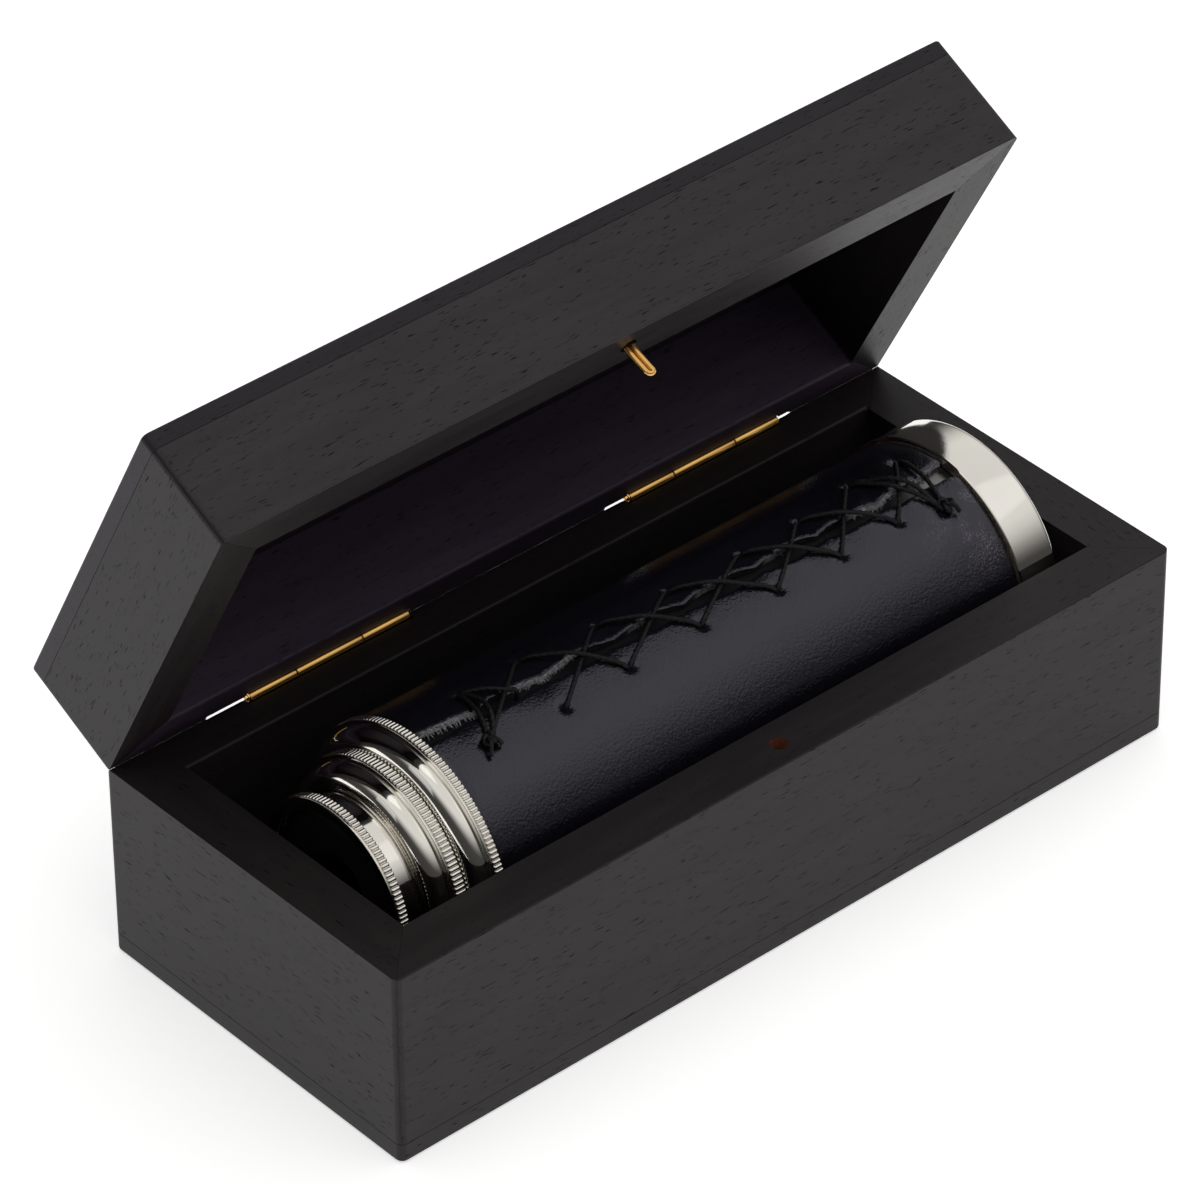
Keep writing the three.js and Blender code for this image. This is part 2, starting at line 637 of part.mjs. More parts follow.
// The turning end: the ring a finger turns, a sleeve inside the tube, two glasses and the loose chips.
function buildObjectCell(scope) {
  const outer = SCOPE_RADIUS;
  const lipBack = CELL_RING_END - CELL_LIP_THICKNESS;
  const round = [CELL_RING_END - CELL_ROUND, outer];
  addNode(
    scope,
    "object_cell_ring",
    turned([
      [CELL_RING_START, TUBE_RADIUS + SLIDE_GAP],
      [CELL_RING_START, outer - CELL_CHAMFER],
      [CELL_RING_START + CELL_CHAMFER, outer],
      ...ovolo([CELL_RING_END, outer - CELL_ROUND], round, 3).reverse(),
      [CELL_RING_END, CELL_LIP_RADIUS],
      [lipBack, CELL_LIP_RADIUS],
      [lipBack, CELL_SLEEVE_RADIUS + CLEAR],
      [TUBE_END + SLIDE_GAP, CELL_SLEEVE_RADIUS + CLEAR],
      [TUBE_END + SLIDE_GAP, TUBE_RADIUS + SLIDE_GAP],
    ]),
    MATERIALS.nickel,
  );
  const grooveStart = CELL_START + CELL_GROOVE_OFFSET;
  const grooveEnd = grooveStart + CELL_GROOVE_WIDTH;
  const grooveFloor = CELL_BORE + CELL_GROOVE_WALL;
  const sleeveEnd = lipBack - CLEAR;
  addNode(
    scope,
    "object_cell_sleeve",
    turned([
      [CELL_START, CELL_BORE - 1],
      [CELL_START, CELL_SLEEVE_RADIUS],
      [grooveStart, CELL_SLEEVE_RADIUS],
      [grooveStart, grooveFloor],
      [grooveEnd, grooveFloor],
      [grooveEnd, CELL_SLEEVE_RADIUS],
      [sleeveEnd, CELL_SLEEVE_RADIUS],
      [sleeveEnd, CELL_BORE],
      [CELL_START + 1, CELL_BORE],
      [CELL_START + 1, CELL_BORE - 1],
    ]),
    MATERIALS.blackened,
  );
  // The split ring in the sleeve's groove is fixed to the tube, and holds the cell in while it turns.
  const guideStart = grooveStart + GUIDE_CLEARANCE;
  const guideEnd = grooveEnd - GUIDE_CLEARANCE;
  const guide = ring(guideStart, guideEnd, grooveFloor + GUIDE_CLEARANCE, TUBE_BORE - CLEAR);
  const split = block(guideStart - 1, -EDGE, 0, guideEnd + 1, EDGE, TUBE_RADIUS);
  addNode(scope, "cell_guide_ring", cut(solidOf(guide), split), MATERIALS.brass);

  const glassRadius = CELL_BORE - CLEAR;
  const frontGlass = CELL_START + 1 + CLEAR;
  const chamber = frontGlass + GLASS + CLEAR;
  const diffuser = sleeveEnd - LOCK_RING_WIDTH - GLASS;
  const chamberRadius = glassRadius - SPACER_WALL;
  const front = disc(frontGlass, frontGlass + GLASS, glassRadius);
  addNode(scope, "cell_front_glass", front, MATERIALS.glass);
  const spacer = ring(chamber, diffuser - CLEAR, chamberRadius, glassRadius);
  addNode(scope, "cell_spacer_ring", spacer, MATERIALS.blackened);
  const back = disc(diffuser, diffuser + GLASS, glassRadius);
  addNode(scope, "cell_diffuser_glass", back, MATERIALS.frosted);
  const lock = ring(diffuser + GLASS + CLEAR, sleeveEnd, chamberRadius, glassRadius);
  addNode(scope, "cell_lock_ring", lock, MATERIALS.blackened);
  addChips(scope, chamber + 4 * CLEAR, diffuser - 4 * CLEAR, chamberRadius);
}

// Loose glass chips lying along the lowest part of the chamber, in two rows of two or four.
function addChips(scope, x0, x1, chamberRadius) {
  const size = CHIP_SIZE;
  const spots = [];
  const rows = [
    { radius: chamberRadius - size / 2 - 5 * CLEAR, count: 4, step: 15 },
    { radius: chamberRadius - 1.5 * size - 11 * CLEAR, count: 2, step: 19 },
  ];
  for (const row of rows) {
    for (let i = 0; i < row.count; i++) {
      for (const along of [0.26, 0.74]) {
        const angle = ((-90 + (i - (row.count - 1) / 2) * row.step) * Math.PI) / 180;
        spots.push({ x: x0 + (x1 - x0) * along, angle, radius: row.radius });
      }
    }
  }
  const colours = ["red", "blue", "green", "amber"];
  const shapes = ["bead", "rod", "shard"];
  spots.forEach((spot, k) => {
    const colour = colours[k % colours.length];
    const shape = shapes[Math.floor(k / colours.length)];
    const chip = chipShape(shape, size);
    chip.rotateX(spot.angle);
    chip.translate(spot.x, spot.radius * Math.cos(spot.angle), spot.radius * Math.sin(spot.angle));
    addNode(scope, `${colour}_glass_${shape}`, solidOf(chip), MATERIALS[colour]);
  });
}

// A faceted bead, a short hexagonal rod and a flat triangular shard.
function chipShape(shape, size) {
  if (shape === "bead") return new THREE.OctahedronGeometry(size / 2, 0);
  if (shape === "rod") return new THREE.CylinderGeometry(size / 2.6, size / 2.6, size, 6);
  return new THREE.CylinderGeometry(size / 2, size / 2, size / 2.4, 3);
}

// ---- put together -------------------------------------------------------------------------------

const hingeGroup = new THREE.Group();
hingeGroup.position.set(0, BACK - HINGE_INSET, BASE_HEIGHT);
part.add(hingeGroup);

const lidGroup = new THREE.Group();
lidGroup.position.copy(hingeGroup.position);
lidGroup.rotation.x = -(LID_OPEN_DEG * Math.PI) / 180;
part.add(lidGroup);

const scopeGroup = new THREE.Group();
scopeGroup.position.set(0, SCOPE_Y, SCOPE_Z);
part.add(scopeGroup);

buildBase(part);
buildHinges(hingeGroup, lidGroup);
buildLid(lidGroup);
buildEyepiece(scopeGroup);
buildCollars(scopeGroup);
buildTube(scopeGroup);
buildMirrors(scopeGroup);
buildObjectCell(scopeGroup);

export default part;
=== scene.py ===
"""A leather-laced kaleidoscope lying in its dark wooden case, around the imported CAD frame."""

import json
import math
import random

import bmesh
import bpy
from mathutils import Matrix, Quaternion, Vector, noise

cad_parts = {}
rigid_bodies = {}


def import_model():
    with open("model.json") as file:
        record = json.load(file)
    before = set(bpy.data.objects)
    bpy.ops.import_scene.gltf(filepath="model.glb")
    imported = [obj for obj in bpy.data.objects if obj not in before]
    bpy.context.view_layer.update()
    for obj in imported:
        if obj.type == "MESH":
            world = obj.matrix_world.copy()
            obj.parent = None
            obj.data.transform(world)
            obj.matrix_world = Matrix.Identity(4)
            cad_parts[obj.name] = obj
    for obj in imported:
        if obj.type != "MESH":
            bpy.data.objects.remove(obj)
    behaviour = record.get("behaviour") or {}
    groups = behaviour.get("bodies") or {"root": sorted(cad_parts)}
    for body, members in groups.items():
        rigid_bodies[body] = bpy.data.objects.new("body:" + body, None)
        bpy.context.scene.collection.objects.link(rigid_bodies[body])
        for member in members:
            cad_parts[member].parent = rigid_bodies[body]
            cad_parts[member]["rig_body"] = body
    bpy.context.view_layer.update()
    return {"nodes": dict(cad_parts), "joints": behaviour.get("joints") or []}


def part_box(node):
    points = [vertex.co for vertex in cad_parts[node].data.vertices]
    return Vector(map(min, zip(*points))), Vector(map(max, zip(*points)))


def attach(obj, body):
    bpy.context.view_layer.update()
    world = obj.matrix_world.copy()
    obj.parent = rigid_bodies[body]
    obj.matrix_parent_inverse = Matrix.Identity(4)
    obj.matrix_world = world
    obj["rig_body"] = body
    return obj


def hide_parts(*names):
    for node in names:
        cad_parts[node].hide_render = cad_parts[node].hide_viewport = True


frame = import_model()

# ---- sizes, in millimetres and degrees ------------------------------------------------------------

MM = 0.001

# Camera
VIEW_AZIMUTH = -41.03
VIEW_ELEVATION = 36.845
VIEW_ROLL = -0.541
VIEW_DISTANCE = 1179.2
VIEW_AIM = (8.91, 21.31, 30.0)
LENS = 224.0

# Light: name, place and size in metres, watts, colour
SOFT_BOXES = [
    ("soft_box_right", (0.743, -0.557, 1.117), (0.9, 0.5), 0.215, (0.95, 0.96, 1.0)),
    ("soft_box_above", (-0.10, 0.12, 1.5), (0.55, 0.55), 0.32, (0.97, 0.98, 1.0)),
    ("soft_box_left", (-1.30, 0.30, 0.90), (0.6, 0.5), 0.35, (0.97, 0.98, 1.0)),
]
LAMPS_AIM = (0, 0, 0.03)
SKY_LEANS = 0.22  # how far the bright part of the tent leans to the right

# Case
EASED_EDGE = 0.45  # radius of the eased edges of the wood
SEAM_EDGE = 0.05  # the fine groove where a panel meets the walls
SEAM_REACH = 0.2  # how near that level the edges along the groove are to be found
MITRE_REACH = 0.12  # how near the plane of a mitre its edges are to be found
SHARP_DEG = 28
HINGE_ZONE = 3.6  # from the back face, where the bevels and kerfs keep their sharp edges
HINGE_ZONE_HEIGHT = 9  # the same, above and below the rim
HINGE_EDGE_REACH = 0.06  # how near the hinge axis the edges of the back walls are to be found
HAIR = 0.001  # how far each of them stays from the axis
HOLE_RADIUS = 1.5  # of the catch's hole
HOLE_EDGE_REACH = HOLE_RADIUS + 0.1
HINGE_EASED_EDGE = 0.1
HINGE_SHARP_DEG = 50
CATCH_WIRE_RADIUS = 0.5
CATCH_WIRE_SIDES = 20
CATCH_WIRE_STEP = 0.15
CATCH_PITCH = 1.1  # between the two legs of the folded wire
CATCH_LEAN = 0.35  # how far the tip of the catch wire leans sideways, inside its hole
PAINTED_FILL_TINTS = {  # boards painted lighter and bluer than their stain: painted light and sheen on the lid's inside
    "lid_back_wall": (3.0, 2.7, 4.2),
    "lid_top_panel": (1.15, 1.08, 1.5),
}
LID_FRONT_POLISH = 1.7  # the lid's front wall shines this much more than the other boards

# Knurled rings
RIB_PITCH = 0.8
RIB_DEPTH = 0.3
STEPS_PER_RIB = 8
RING_LIP = 0.3  # the smooth lip on the eyepiece side of each knurled ring
RING_LIP_DROP = 0.05  # from the tips of the ribs
RIB_CHAMFER = 0.16  # at both ends of the ribs
RING_GROOVE = 0.22  # the groove between the lip and the ribs
RING_GROOVE_DEPTH = 0.35
RING_FOOT = 0.95  # from the tips of a collar's ribs down to where the flares meet the ring
SMOOTH_STEPS = 256

# Turned parts
SLIDING_GAP = 0.1
TUBE_WALL = 0.8
EYE_RIM = 0.6  # thickness of the eye ring's inward rim in front of the draw tube
DRAW_WALL = 1
MOUNT_RING = (3.4, 5.8)  # the knurled band, from the collar's eyepiece end
MOUNT_NOSE = 15.3  # radius where the mount's flare begins
MOUNT_BORE = 14.45
SPIGOT_RADIUS = 17.2
FERRULE_RING = (3.2, 5.2)
FERRULE_NOSE = 18.2
FERRULE_SEAT = 0.6  # the tube butts this far past the start of the ferrule's knurled band
FLARE_END = (0.4, 0.8)  # a flare stops this far short of its ring, and below the ribs' tips
BAND_WALL = 1  # thickness of the object cell band's outer end
BAND_GAP = 0.15  # between the band and the tube
BAND_SLEEVE_RADIUS = 19.1
BAND_LIP_RADIUS = 16.4
BAND_ROUND = 1.0
BRASS_LINE = (0.08, 0.9)  # how far bare brass shows along the band's edge, and down its face

# Leather
SEAM_START_DEG = 95.3  # middle of the seam at SEAM_START
SEAM_START = -44.0
SEAM_DRIFT = 0.06  # degrees per millimetre along the tube
LEATHER_RADIUS = 21.5
LEATHER_INNER = 20.3
SEAM_HALF_GAP = 1.7  # degrees, at the lacing holes
SEAM_OPENS = 2.9  # degrees more on each side, between the holes
END_OPENS_OVER = (7, 6)  # length over which the seam opens past the first and last holes
MOUTH_START = 50.0  # from here the back piece's edge leaves the tube bare towards the object cell
MOUTH_OPENS = 4.0
MOUTH_REACH = 4  # over this length
EDGE_LIFT = 0.6  # how far the edges curl up between the holes
EDGE_LIFT_REACH = 2.6
EDGE_SINK = 0.12  # how far they are drawn down at the holes
RAW_PATCHES = [  # stretches along the tube where the cut edge shows undyed, and how strongly
    (-48.0, -38.6, 1.0), (-30.8, -18.0, 1.0), (-7.0, -4.6, 0.3), (6.6, 9.6, 0.3),
    (20.6, 24.4, 0.3), (38.2, 47.4, 1.0), (51.5, 58.0, 0.8),
]
RAW_FADE = 1.1
FIBRE_TRIES = 1100
FIBRE_RADIUS = 0.03
HOLE_DIMPLE = 0.75
HOLE_DISH = 0.16  # the shallow dish round each dimple
HOLE_REACH = 0.85
DENSE_DEG = 26  # next to the seam, where the mesh is fine
DENSE_STEP_DEG = 1.1
COARSE_STEP_DEG = 3
LEATHER_STEP = 0.42

# Lacing: the holes on each side of the seam, as (place along the tube, angle round it)
UPPER_HOLES = [
    (-38.0, 80.8), (-25.2, 79.0), (-10.8, 82.8), (3.1, 85.4),
    (18.0, 86.4), (30.5, 85.4), (43.0, 80.2), (53.1, 81.0),
]
LOWER_HOLES = [
    (-41.1, 111.0), (-26.3, 113.2), (-12.6, 110.6), (2.5, 109.4),
    (17.7, 111.7), (31.1, 111.8), (43.4, 111.0), (51.8, 115.6),
]
FIRST_DIVE = (-30.8, 96.6)  # where the first strand goes down into the seam
THREAD_RADIUS = 0.4
THREAD_SIDES = 14
THREAD_STEP = 0.16
THREAD_TWIST = 1.7  # length of one turn of the plies
THREAD_PLIES = 3
THREAD_SINK = 1.3  # how far below the leather a strand goes in its hole
UNDER_STRAND = -0.35  # height half way along, compared with lying on the leather
OVER_STRAND = 0.5
KNOT_HEIGHT = 0.55  # above the leather
KNOT_WEAVE = 0.42  # how far its loops pass above and below that

random.seed(7)

TUBE_LOW, TUBE_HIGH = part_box("barrel_tube")
TUBE_RADIUS = (TUBE_HIGH.z - TUBE_LOW.z) / 2 / MM
AXIS_Y = (TUBE_LOW.y + TUBE_HIGH.y) / 2 / MM
AXIS_Z = (TUBE_LOW.z + TUBE_HIGH.z) / 2 / MM
CASE_HALF_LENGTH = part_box("base_floor_panel")[1].x / MM
CASE_HALF_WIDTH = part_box("base_floor_panel")[1].y / MM
RIM_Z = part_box("base_front_wall")[1].z / MM
LID_JOINT = next(j for j in frame["joints"] if j["name"] == "lid_hinge")
HINGE = Vector(LID_JOINT["pos_m"])
SHUT_TURN = Matrix.Rotation(math.radians(LID_JOINT["range_deg"][0]), 3, Vector(LID_JOINT["axis"]))
SHUT_ANGLE = -math.radians(LID_JOINT["range_deg"][0])


# ---- camera, light and floor ----------------------------------------------------------------------

def add_camera():
    azimuth, elevation = math.radians(VIEW_AZIMUTH), math.radians(VIEW_ELEVATION)
    away = Vector((
        math.cos(elevation) * math.sin(azimuth),
        -math.cos(elevation) * math.cos(azimuth),
        math.sin(elevation),
    ))
    camera = bpy.data.objects.new("camera", bpy.data.cameras.new("camera"))
    camera.data.lens = LENS
    camera.data.sensor_width = 36
    camera.data.clip_start = 0.05
    camera.location = (Vector(VIEW_AIM) + away * VIEW_DISTANCE) * MM
    roll = Quaternion((0, 0, 1), math.radians(VIEW_ROLL))
    camera.rotation_mode = "QUATERNION"
    camera.rotation_quaternion = (-away).to_track_quat("-Z", "Y") @ roll
    bpy.context.scene.collection.objects.link(camera)
    bpy.context.scene.camera = camera


def add_area(name, place, size, power, colour):
    light = bpy.data.lights.new(name, "AREA")
    light.shape = "RECTANGLE"
    light.size, light.size_y = size
    light.energy = power
    light.color = colour
    lamp = bpy.data.objects.new(name, light)
    lamp.location = place
    lamp.rotation_mode = "QUATERNION"
    lamp.rotation_quaternion = (Vector(LAMPS_AIM) - Vector(place)).to_track_quat("-Z", "Y")
    bpy.context.scene.collection.objects.link(lamp)


def add_studio():
    """A pale tent, brightest overhead and to the right and dark near the horizon, and soft boxes."""
    world = bpy.data.worlds.new("studio")
    bpy.context.scene.world = world
    world.use_nodes = True
    graph = Graph(world.node_tree)
    direction = graph.node("ShaderNodeTexCoord").outputs["Generated"]
    parts = graph.node("ShaderNodeSeparateXYZ")
    graph.link(direction, parts.inputs["Vector"])
    brighter_right = graph.math("MULTIPLY", parts.outputs["X"], SKY_LEANS)
    height = graph.math("ADD", parts.outputs["Z"], brighter_right)
    tent = graph.ramp(
        height,
        (0.0, (0.05, 0.049, 0.047)), (0.28, (0.06, 0.059, 0.057)), (0.36, (0.14, 0.138, 0.135)),
        (0.46, (0.31, 0.307, 0.30)), (0.54, (0.50, 0.496, 0.49)), (0.62, (0.66, 0.656, 0.65)),
        (0.72, (0.80, 0.796, 0.785)), (1.0, (0.78, 0.775, 0.765)),
    )
    graph.link(tent, world.node_tree.nodes["Background"].inputs["Color"])
    for soft_box in SOFT_BOXES:
        add_area(*soft_box)
    bpy.context.scene.view_settings.view_transform = "Standard"


def add_floor():
    bm = bmesh.new()
    bmesh.ops.create_grid(bm, x_segments=1, y_segments=1, size=4)
    mesh = bpy.data.meshes.new("floor")
    bm.to_mesh(mesh)
    bm.free()
    floor = bpy.data.objects.new("floor", mesh)
    floor.location.z = -0.0002
    bpy.context.scene.collection.objects.link(floor)
    material, _, shader = principled("pale_floor", roughness=0.9)
    shader.inputs["Base Color"].default_value = (0.95, 0.95, 0.95, 1)
    shader.inputs["Specular IOR Level"].default_value = 0
    shader.inputs["Emission Color"].default_value = (1, 1, 1, 1)
    shader.inputs["Emission Strength"].default_value = 0.56
    mesh.materials.append(material)


# ---- materials ------------------------------------------------------------------------------------

class Graph:
    """Short ways to add shader nodes."""

    def __init__(self, tree):
        self.tree = tree

    def node(self, kind, **settings):
        node = self.tree.nodes.new(kind)
        for key, value in settings.items():
            setattr(node, key, value)
        return node

    def link(self, source, target):
        self.tree.links.new(source, target)

    def place(self, scale=(1, 1, 1), turn=(0, 0, 0), shift=(0, 0, 0)):
        """Object coordinates, turned and then scaled."""
        source = self.node("ShaderNodeTexCoord").outputs["Object"]
        turned = self.node("ShaderNodeMapping")
        turned.inputs["Rotation"].default_value = turn
        self.link(source, turned.inputs["Vector"])
        scaled = self.node("ShaderNodeMapping")
        scaled.inputs["Scale"].default_value = scale
        scaled.inputs["Location"].default_value = shift
        self.link(turned.outputs["Vector"], scaled.inputs["Vector"])
        return scaled.outputs["Vector"]

    def noise(self, vector, scale=1.0, detail=3.0, rough=0.5, distortion=0.0):
        texture = self.node("ShaderNodeTexNoise")
        texture.inputs["Scale"].default_value = scale
        texture.inputs["Detail"].default_value = detail
        texture.inputs["Roughness"].default_value = rough
        texture.inputs["Distortion"].default_value = distortion
        self.link(vector, texture.inputs["Vector"])
        return texture.outputs["Fac"]

    def cells(self, vector, scale, feature="F1"):
        texture = self.node("ShaderNodeTexVoronoi", feature=feature)
        texture.inputs["Scale"].default_value = scale
        self.link(vector, texture.inputs["Vector"])
        return texture.outputs["Distance"]

    def ramp(self, value, *stops):
        """A colour ramp of (position, grey or colour) stops."""
        node = self.node("ShaderNodeValToRGB")
        elements = node.color_ramp.elements
        while len(elements) < len(stops):
            elements.new(0.5)
        for element, (position, colour) in zip(elements, stops):
            element.position = position
            grey = isinstance(colour, (int, float))
            element.color = (colour, colour, colour, 1) if grey else (*colour, 1)
        self.link(value, node.inputs["Fac"])
        return node.outputs["Color"]

    def math(self, operation, a, b):
        node = self.node("ShaderNodeMath", operation=operation)
        for socket, value in zip(node.inputs, (a, b)):
            if isinstance(value, (int, float)):
                socket.default_value = value
            else:
                self.link(value, socket)
        return node.outputs["Value"]

    def scaled(self, value, times, plus):
        """value * times + plus."""
        result = self.math("MULTIPLY_ADD", value, times)
        result.node.inputs[2].default_value = plus
        return result

    def tinted(self, factor, low, high):
        """One colour where factor is 0, another where it is 1."""
        return self.ramp(factor, (0.0, low), (1.0, high))

    def times(self, first, second):
        node = self.node("ShaderNodeMix", data_type="RGBA", blend_type="MULTIPLY")
        node.inputs["Factor"].default_value = 1
        self.link(first, node.inputs["A"])
        self.link(second, node.inputs["B"])
        return node.outputs["Result"]

    def bump(self, height, distance, below=None):
        """Relief whose height of 1 stands that many millimetres high."""
        node = self.node("ShaderNodeBump")
        node.inputs["Distance"].default_value = distance * MM
        self.link(height, node.inputs["Height"])
        if below is not None:
            self.link(below, node.inputs["Normal"])
        return node.outputs["Normal"]


def principled(name, metallic=0.0, roughness=0.5):
    material = bpy.data.materials.new(name)
    material.use_nodes = True
    shader = material.node_tree.nodes["Principled BSDF"]
    shader.inputs["Metallic"].default_value = metallic
    shader.inputs["Roughness"].default_value = roughness
    return material, Graph(material.node_tree), shader


def wood(name, along, turn, shift, tint=(1, 1, 1), shine=1.0):
    """Near-black stained hardwood: short open pores along the grain, satin between them."""
    material, graph, shader = principled(name)
    lengthwise, across = 420, 4200
    scale = (lengthwise, across, across) if along == "X" else (across, lengthwise, across)
    pores = graph.ramp(
        graph.noise(graph.place(scale, turn, shift), detail=1.5, rough=0.55),
        (0.645, 1.0), (0.715, 0.0),
    )
    figure_scale = tuple(s / 12 for s in scale)
    figure = graph.noise(graph.place(figure_scale, turn, shift), detail=4, distortion=0.4)
    fibres_scale = tuple(s * (0.5 if s == lengthwise else 2.2) for s in scale)
    fibres = graph.noise(graph.place(fibres_scale, turn, shift), detail=2)
    # tint paints some boards lighter and bluer, as painted light; it is 1 for the rest
    dark, light = (
        tuple(c * t for c, t in zip(tone, tint))
        for tone in ((0.0138, 0.0110, 0.0118), (0.0222, 0.0180, 0.0187))
    )
    stain = graph.tinted(figure, dark, light)
    graph.link(graph.times(stain, graph.tinted(pores, 0.4, 1.0)), shader.inputs["Base Color"])
    between_pores = graph.scaled(figure, 0.16, 0.36)
    matt_pores = graph.scaled(pores, -0.22, 0.22)
    graph.link(graph.math("ADD", between_pores, matt_pores), shader.inputs["Roughness"])
    polish = graph.scaled(figure, 0.13 * shine, 0.165 * shine)
    dull_pores = graph.tinted(pores, 0.42, 1.0)
    graph.link(graph.math("MULTIPLY", polish, dull_pores), shader.inputs["Specular IOR Level"])
    relief = graph.bump(fibres, 0.006)
    graph.link(graph.bump(pores, 0.02, relief), shader.inputs["Normal"])
    return material


def bare_wood():
    """Unstained reddish wood inside the drilled hole."""
    material, graph, shader = principled("bare_wood", roughness=0.85)
    grain = graph.noise(graph.place((900, 2600, 2600)), detail=3)
    colour = graph.tinted(grain, (0.05, 0.012, 0.006), (0.34, 0.085, 0.038))
    graph.link(colour, shader.inputs["Base Color"])
    graph.link(graph.bump(grain, 0.08), shader.inputs["Normal"])
    return material


def metal(name, colour, roughness, wear=0.05, scratch=0.004):
    """Polished metal with faint uneven polish and hairline turning marks."""
    material, graph, shader = principled(name, metallic=1.0)
    cloud = graph.noise(graph.place((120, 120, 120)), detail=4)
    graph.link(graph.scaled(cloud, wear, roughness), shader.inputs["Roughness"])
    dulled = tuple(c * 0.93 for c in colour)
    graph.link(graph.tinted(cloud, dulled, colour), shader.inputs["Base Color"])
    marks = graph.noise(graph.place((9000, 260, 260)), detail=2)
    graph.link(graph.bump(marks, scratch), shader.inputs["Normal"])
    return material


def worn_end(graph, place):
    """1 in a rubbed patch of the leather next to the object cell, fading to 0 along the tube."""
    parts = graph.node("ShaderNodeSeparateXYZ")
    graph.link(place, parts.inputs["Vector"])
    along = graph.ramp(parts.outputs["X"], (0.0445, 0.0), (0.0525, 1.0))
    cloud = graph.ramp(graph.noise(place, 230, detail=3), (0.46, 0.0), (0.62, 1.0))
    return graph.math("MULTIPLY", along, cloud)


def leather():
    """Fine-grained navy-black leather with an uneven satin finish."""
    material, graph, shader = principled("navy_leather")
    place = graph.place()
    pebbles = graph.cells(place, 2300, "SMOOTH_F1")
    grit = graph.noise(place, 4000, detail=2)
    patches = graph.noise(place, 70, detail=4)
    grain = graph.tinted(pebbles, 1.0, 0.35)
    tone = graph.tinted(patches, (0.0062, 0.0055, 0.0092), (0.0100, 0.0089, 0.0146))
    graph.link(graph.times(tone, grain), shader.inputs["Base Color"])
    graph.link(graph.scaled(patches, 0.08, 0.17), shader.inputs["Roughness"])
    sparkle = graph.math("MULTIPLY", worn_end(graph, place), graph.ramp(grit, (0.50, 0.0), (0.62, 1.0)))
    graph.link(graph.scaled(sparkle, 1.2, 0.66), shader.inputs["Specular IOR Level"])
    shader.inputs["Specular Tint"].default_value = (0.88, 0.85, 1.0, 1)
    creases = graph.bump(graph.noise(place, 420, detail=3, distortion=0.6), 0.004)
    surface = graph.bump(pebbles, -0.050, creases)
    graph.link(graph.bump(grit, 0.034, surface), shader.inputs["Normal"])
    return material


def undyed_share(graph):
    """Near 0 where the dye covers the cut edge, and 1 where it shows undyed."""
    parts = graph.node("ShaderNodeSeparateXYZ")
    graph.link(graph.place(), parts.inputs["Vector"])
    low, high = RAW_PATCHES[0][0] - RAW_FADE, RAW_PATCHES[-1][1] + RAW_FADE
    along = graph.node("ShaderNodeMapRange")
    along.inputs["From Min"].default_value = low * MM
    along.inputs["From Max"].default_value = high * MM
    graph.link(parts.outputs["X"], along.inputs["Value"])
    stops = []
    for start, end, share in RAW_PATCHES:
        for x, level in ((start - RAW_FADE, 0.03), (start, share), (end, share), (end + RAW_FADE, 0.03)):
            stops.append(((x - low) / (high - low), level))
    return graph.ramp(along.outputs["Result"], *stops)


def raw_leather():
    """The cut, undyed edge of the leather: pale grey and fibrous."""
    material, graph, shader = principled("raw_leather_edge", roughness=0.95)
    fuzz = graph.noise(graph.place((900, 4200, 4200)), detail=4, rough=0.7)
    colour = graph.ramp(fuzz, (0.40, (0.06, 0.06, 0.066)), (0.58, (0.68, 0.68, 0.71)))
    undyed = undyed_share(graph)
    graph.link(graph.times(colour, undyed), shader.inputs["Base Color"])
    graph.link(graph.bump(fuzz, 0.08), shader.inputs["Normal"])
    graph.link(graph.math("MULTIPLY", undyed, 0.4), shader.inputs["Sheen Weight"])
    shader.inputs["Specular IOR Level"].default_value = 0.1
    return material


def thread():
    """Waxed dark thread."""
    material, graph, shader = principled("waxed_thread")
    place = graph.place()
    fibre = graph.noise(place, 3200, detail=3)
    colour = graph.tinted(fibre, (0.004, 0.0036, 0.004), (0.014, 0.013, 0.015))
    graph.link(colour, shader.inputs["Base Color"])
    shader.inputs["Specular IOR Level"].default_value = 0.25
    graph.link(graph.scaled(graph.noise(place, 500), 0.25, 0.40), shader.inputs["Roughness"])
    graph.link(graph.bump(fibre, 0.05), shader.inputs["Normal"])
    return material


def shade_darkened_nickel():
    """The barrel tube: painted near black as shade where the leather covers it, so the seam gap shows dark;
    polished near the object cell, with the bare nickel painted darker to dim its reflection.
    """
    material, graph, shader = principled("shade_darkened_nickel", roughness=0.5)
    place = graph.place()
    parts = graph.node("ShaderNodeSeparateXYZ")
    graph.link(place, parts.inputs["Vector"])
    cloud = graph.math("MULTIPLY_ADD", graph.noise(place, 600, detail=3), 0.003)
    graph.link(parts.outputs["X"], cloud.node.inputs[2])
    bare = graph.ramp(cloud, (0.0500, 0.0), (0.0525, 1.0))
    graph.link(bare, shader.inputs["Metallic"])
    # painted shade: near black under the leather, and darkened nickel where bare
    graph.link(graph.tinted(bare, (0.008, 0.008, 0.009), (0.20, 0.195, 0.19)), shader.inputs["Base Color"])
    graph.link(graph.tinted(bare, 0.55, 0.26), shader.inputs["Roughness"])
    graph.link(graph.tinted(bare, 0.15, 0.5), shader.inputs["Specular IOR Level"])
    return material


def speckled(name, low, high, roughness, grain, relief, shine=0.5):
    """A plain surface with fine variation of tone and relief."""
    material, graph, shader = principled(name, roughness=roughness)
    shader.inputs["Specular IOR Level"].default_value = shine
    fine = graph.noise(graph.place(), grain, detail=3)
    graph.link(graph.tinted(fine, low, high), shader.inputs["Base Color"])
    graph.link(graph.bump(fine, relief), shader.inputs["Normal"])
    return material


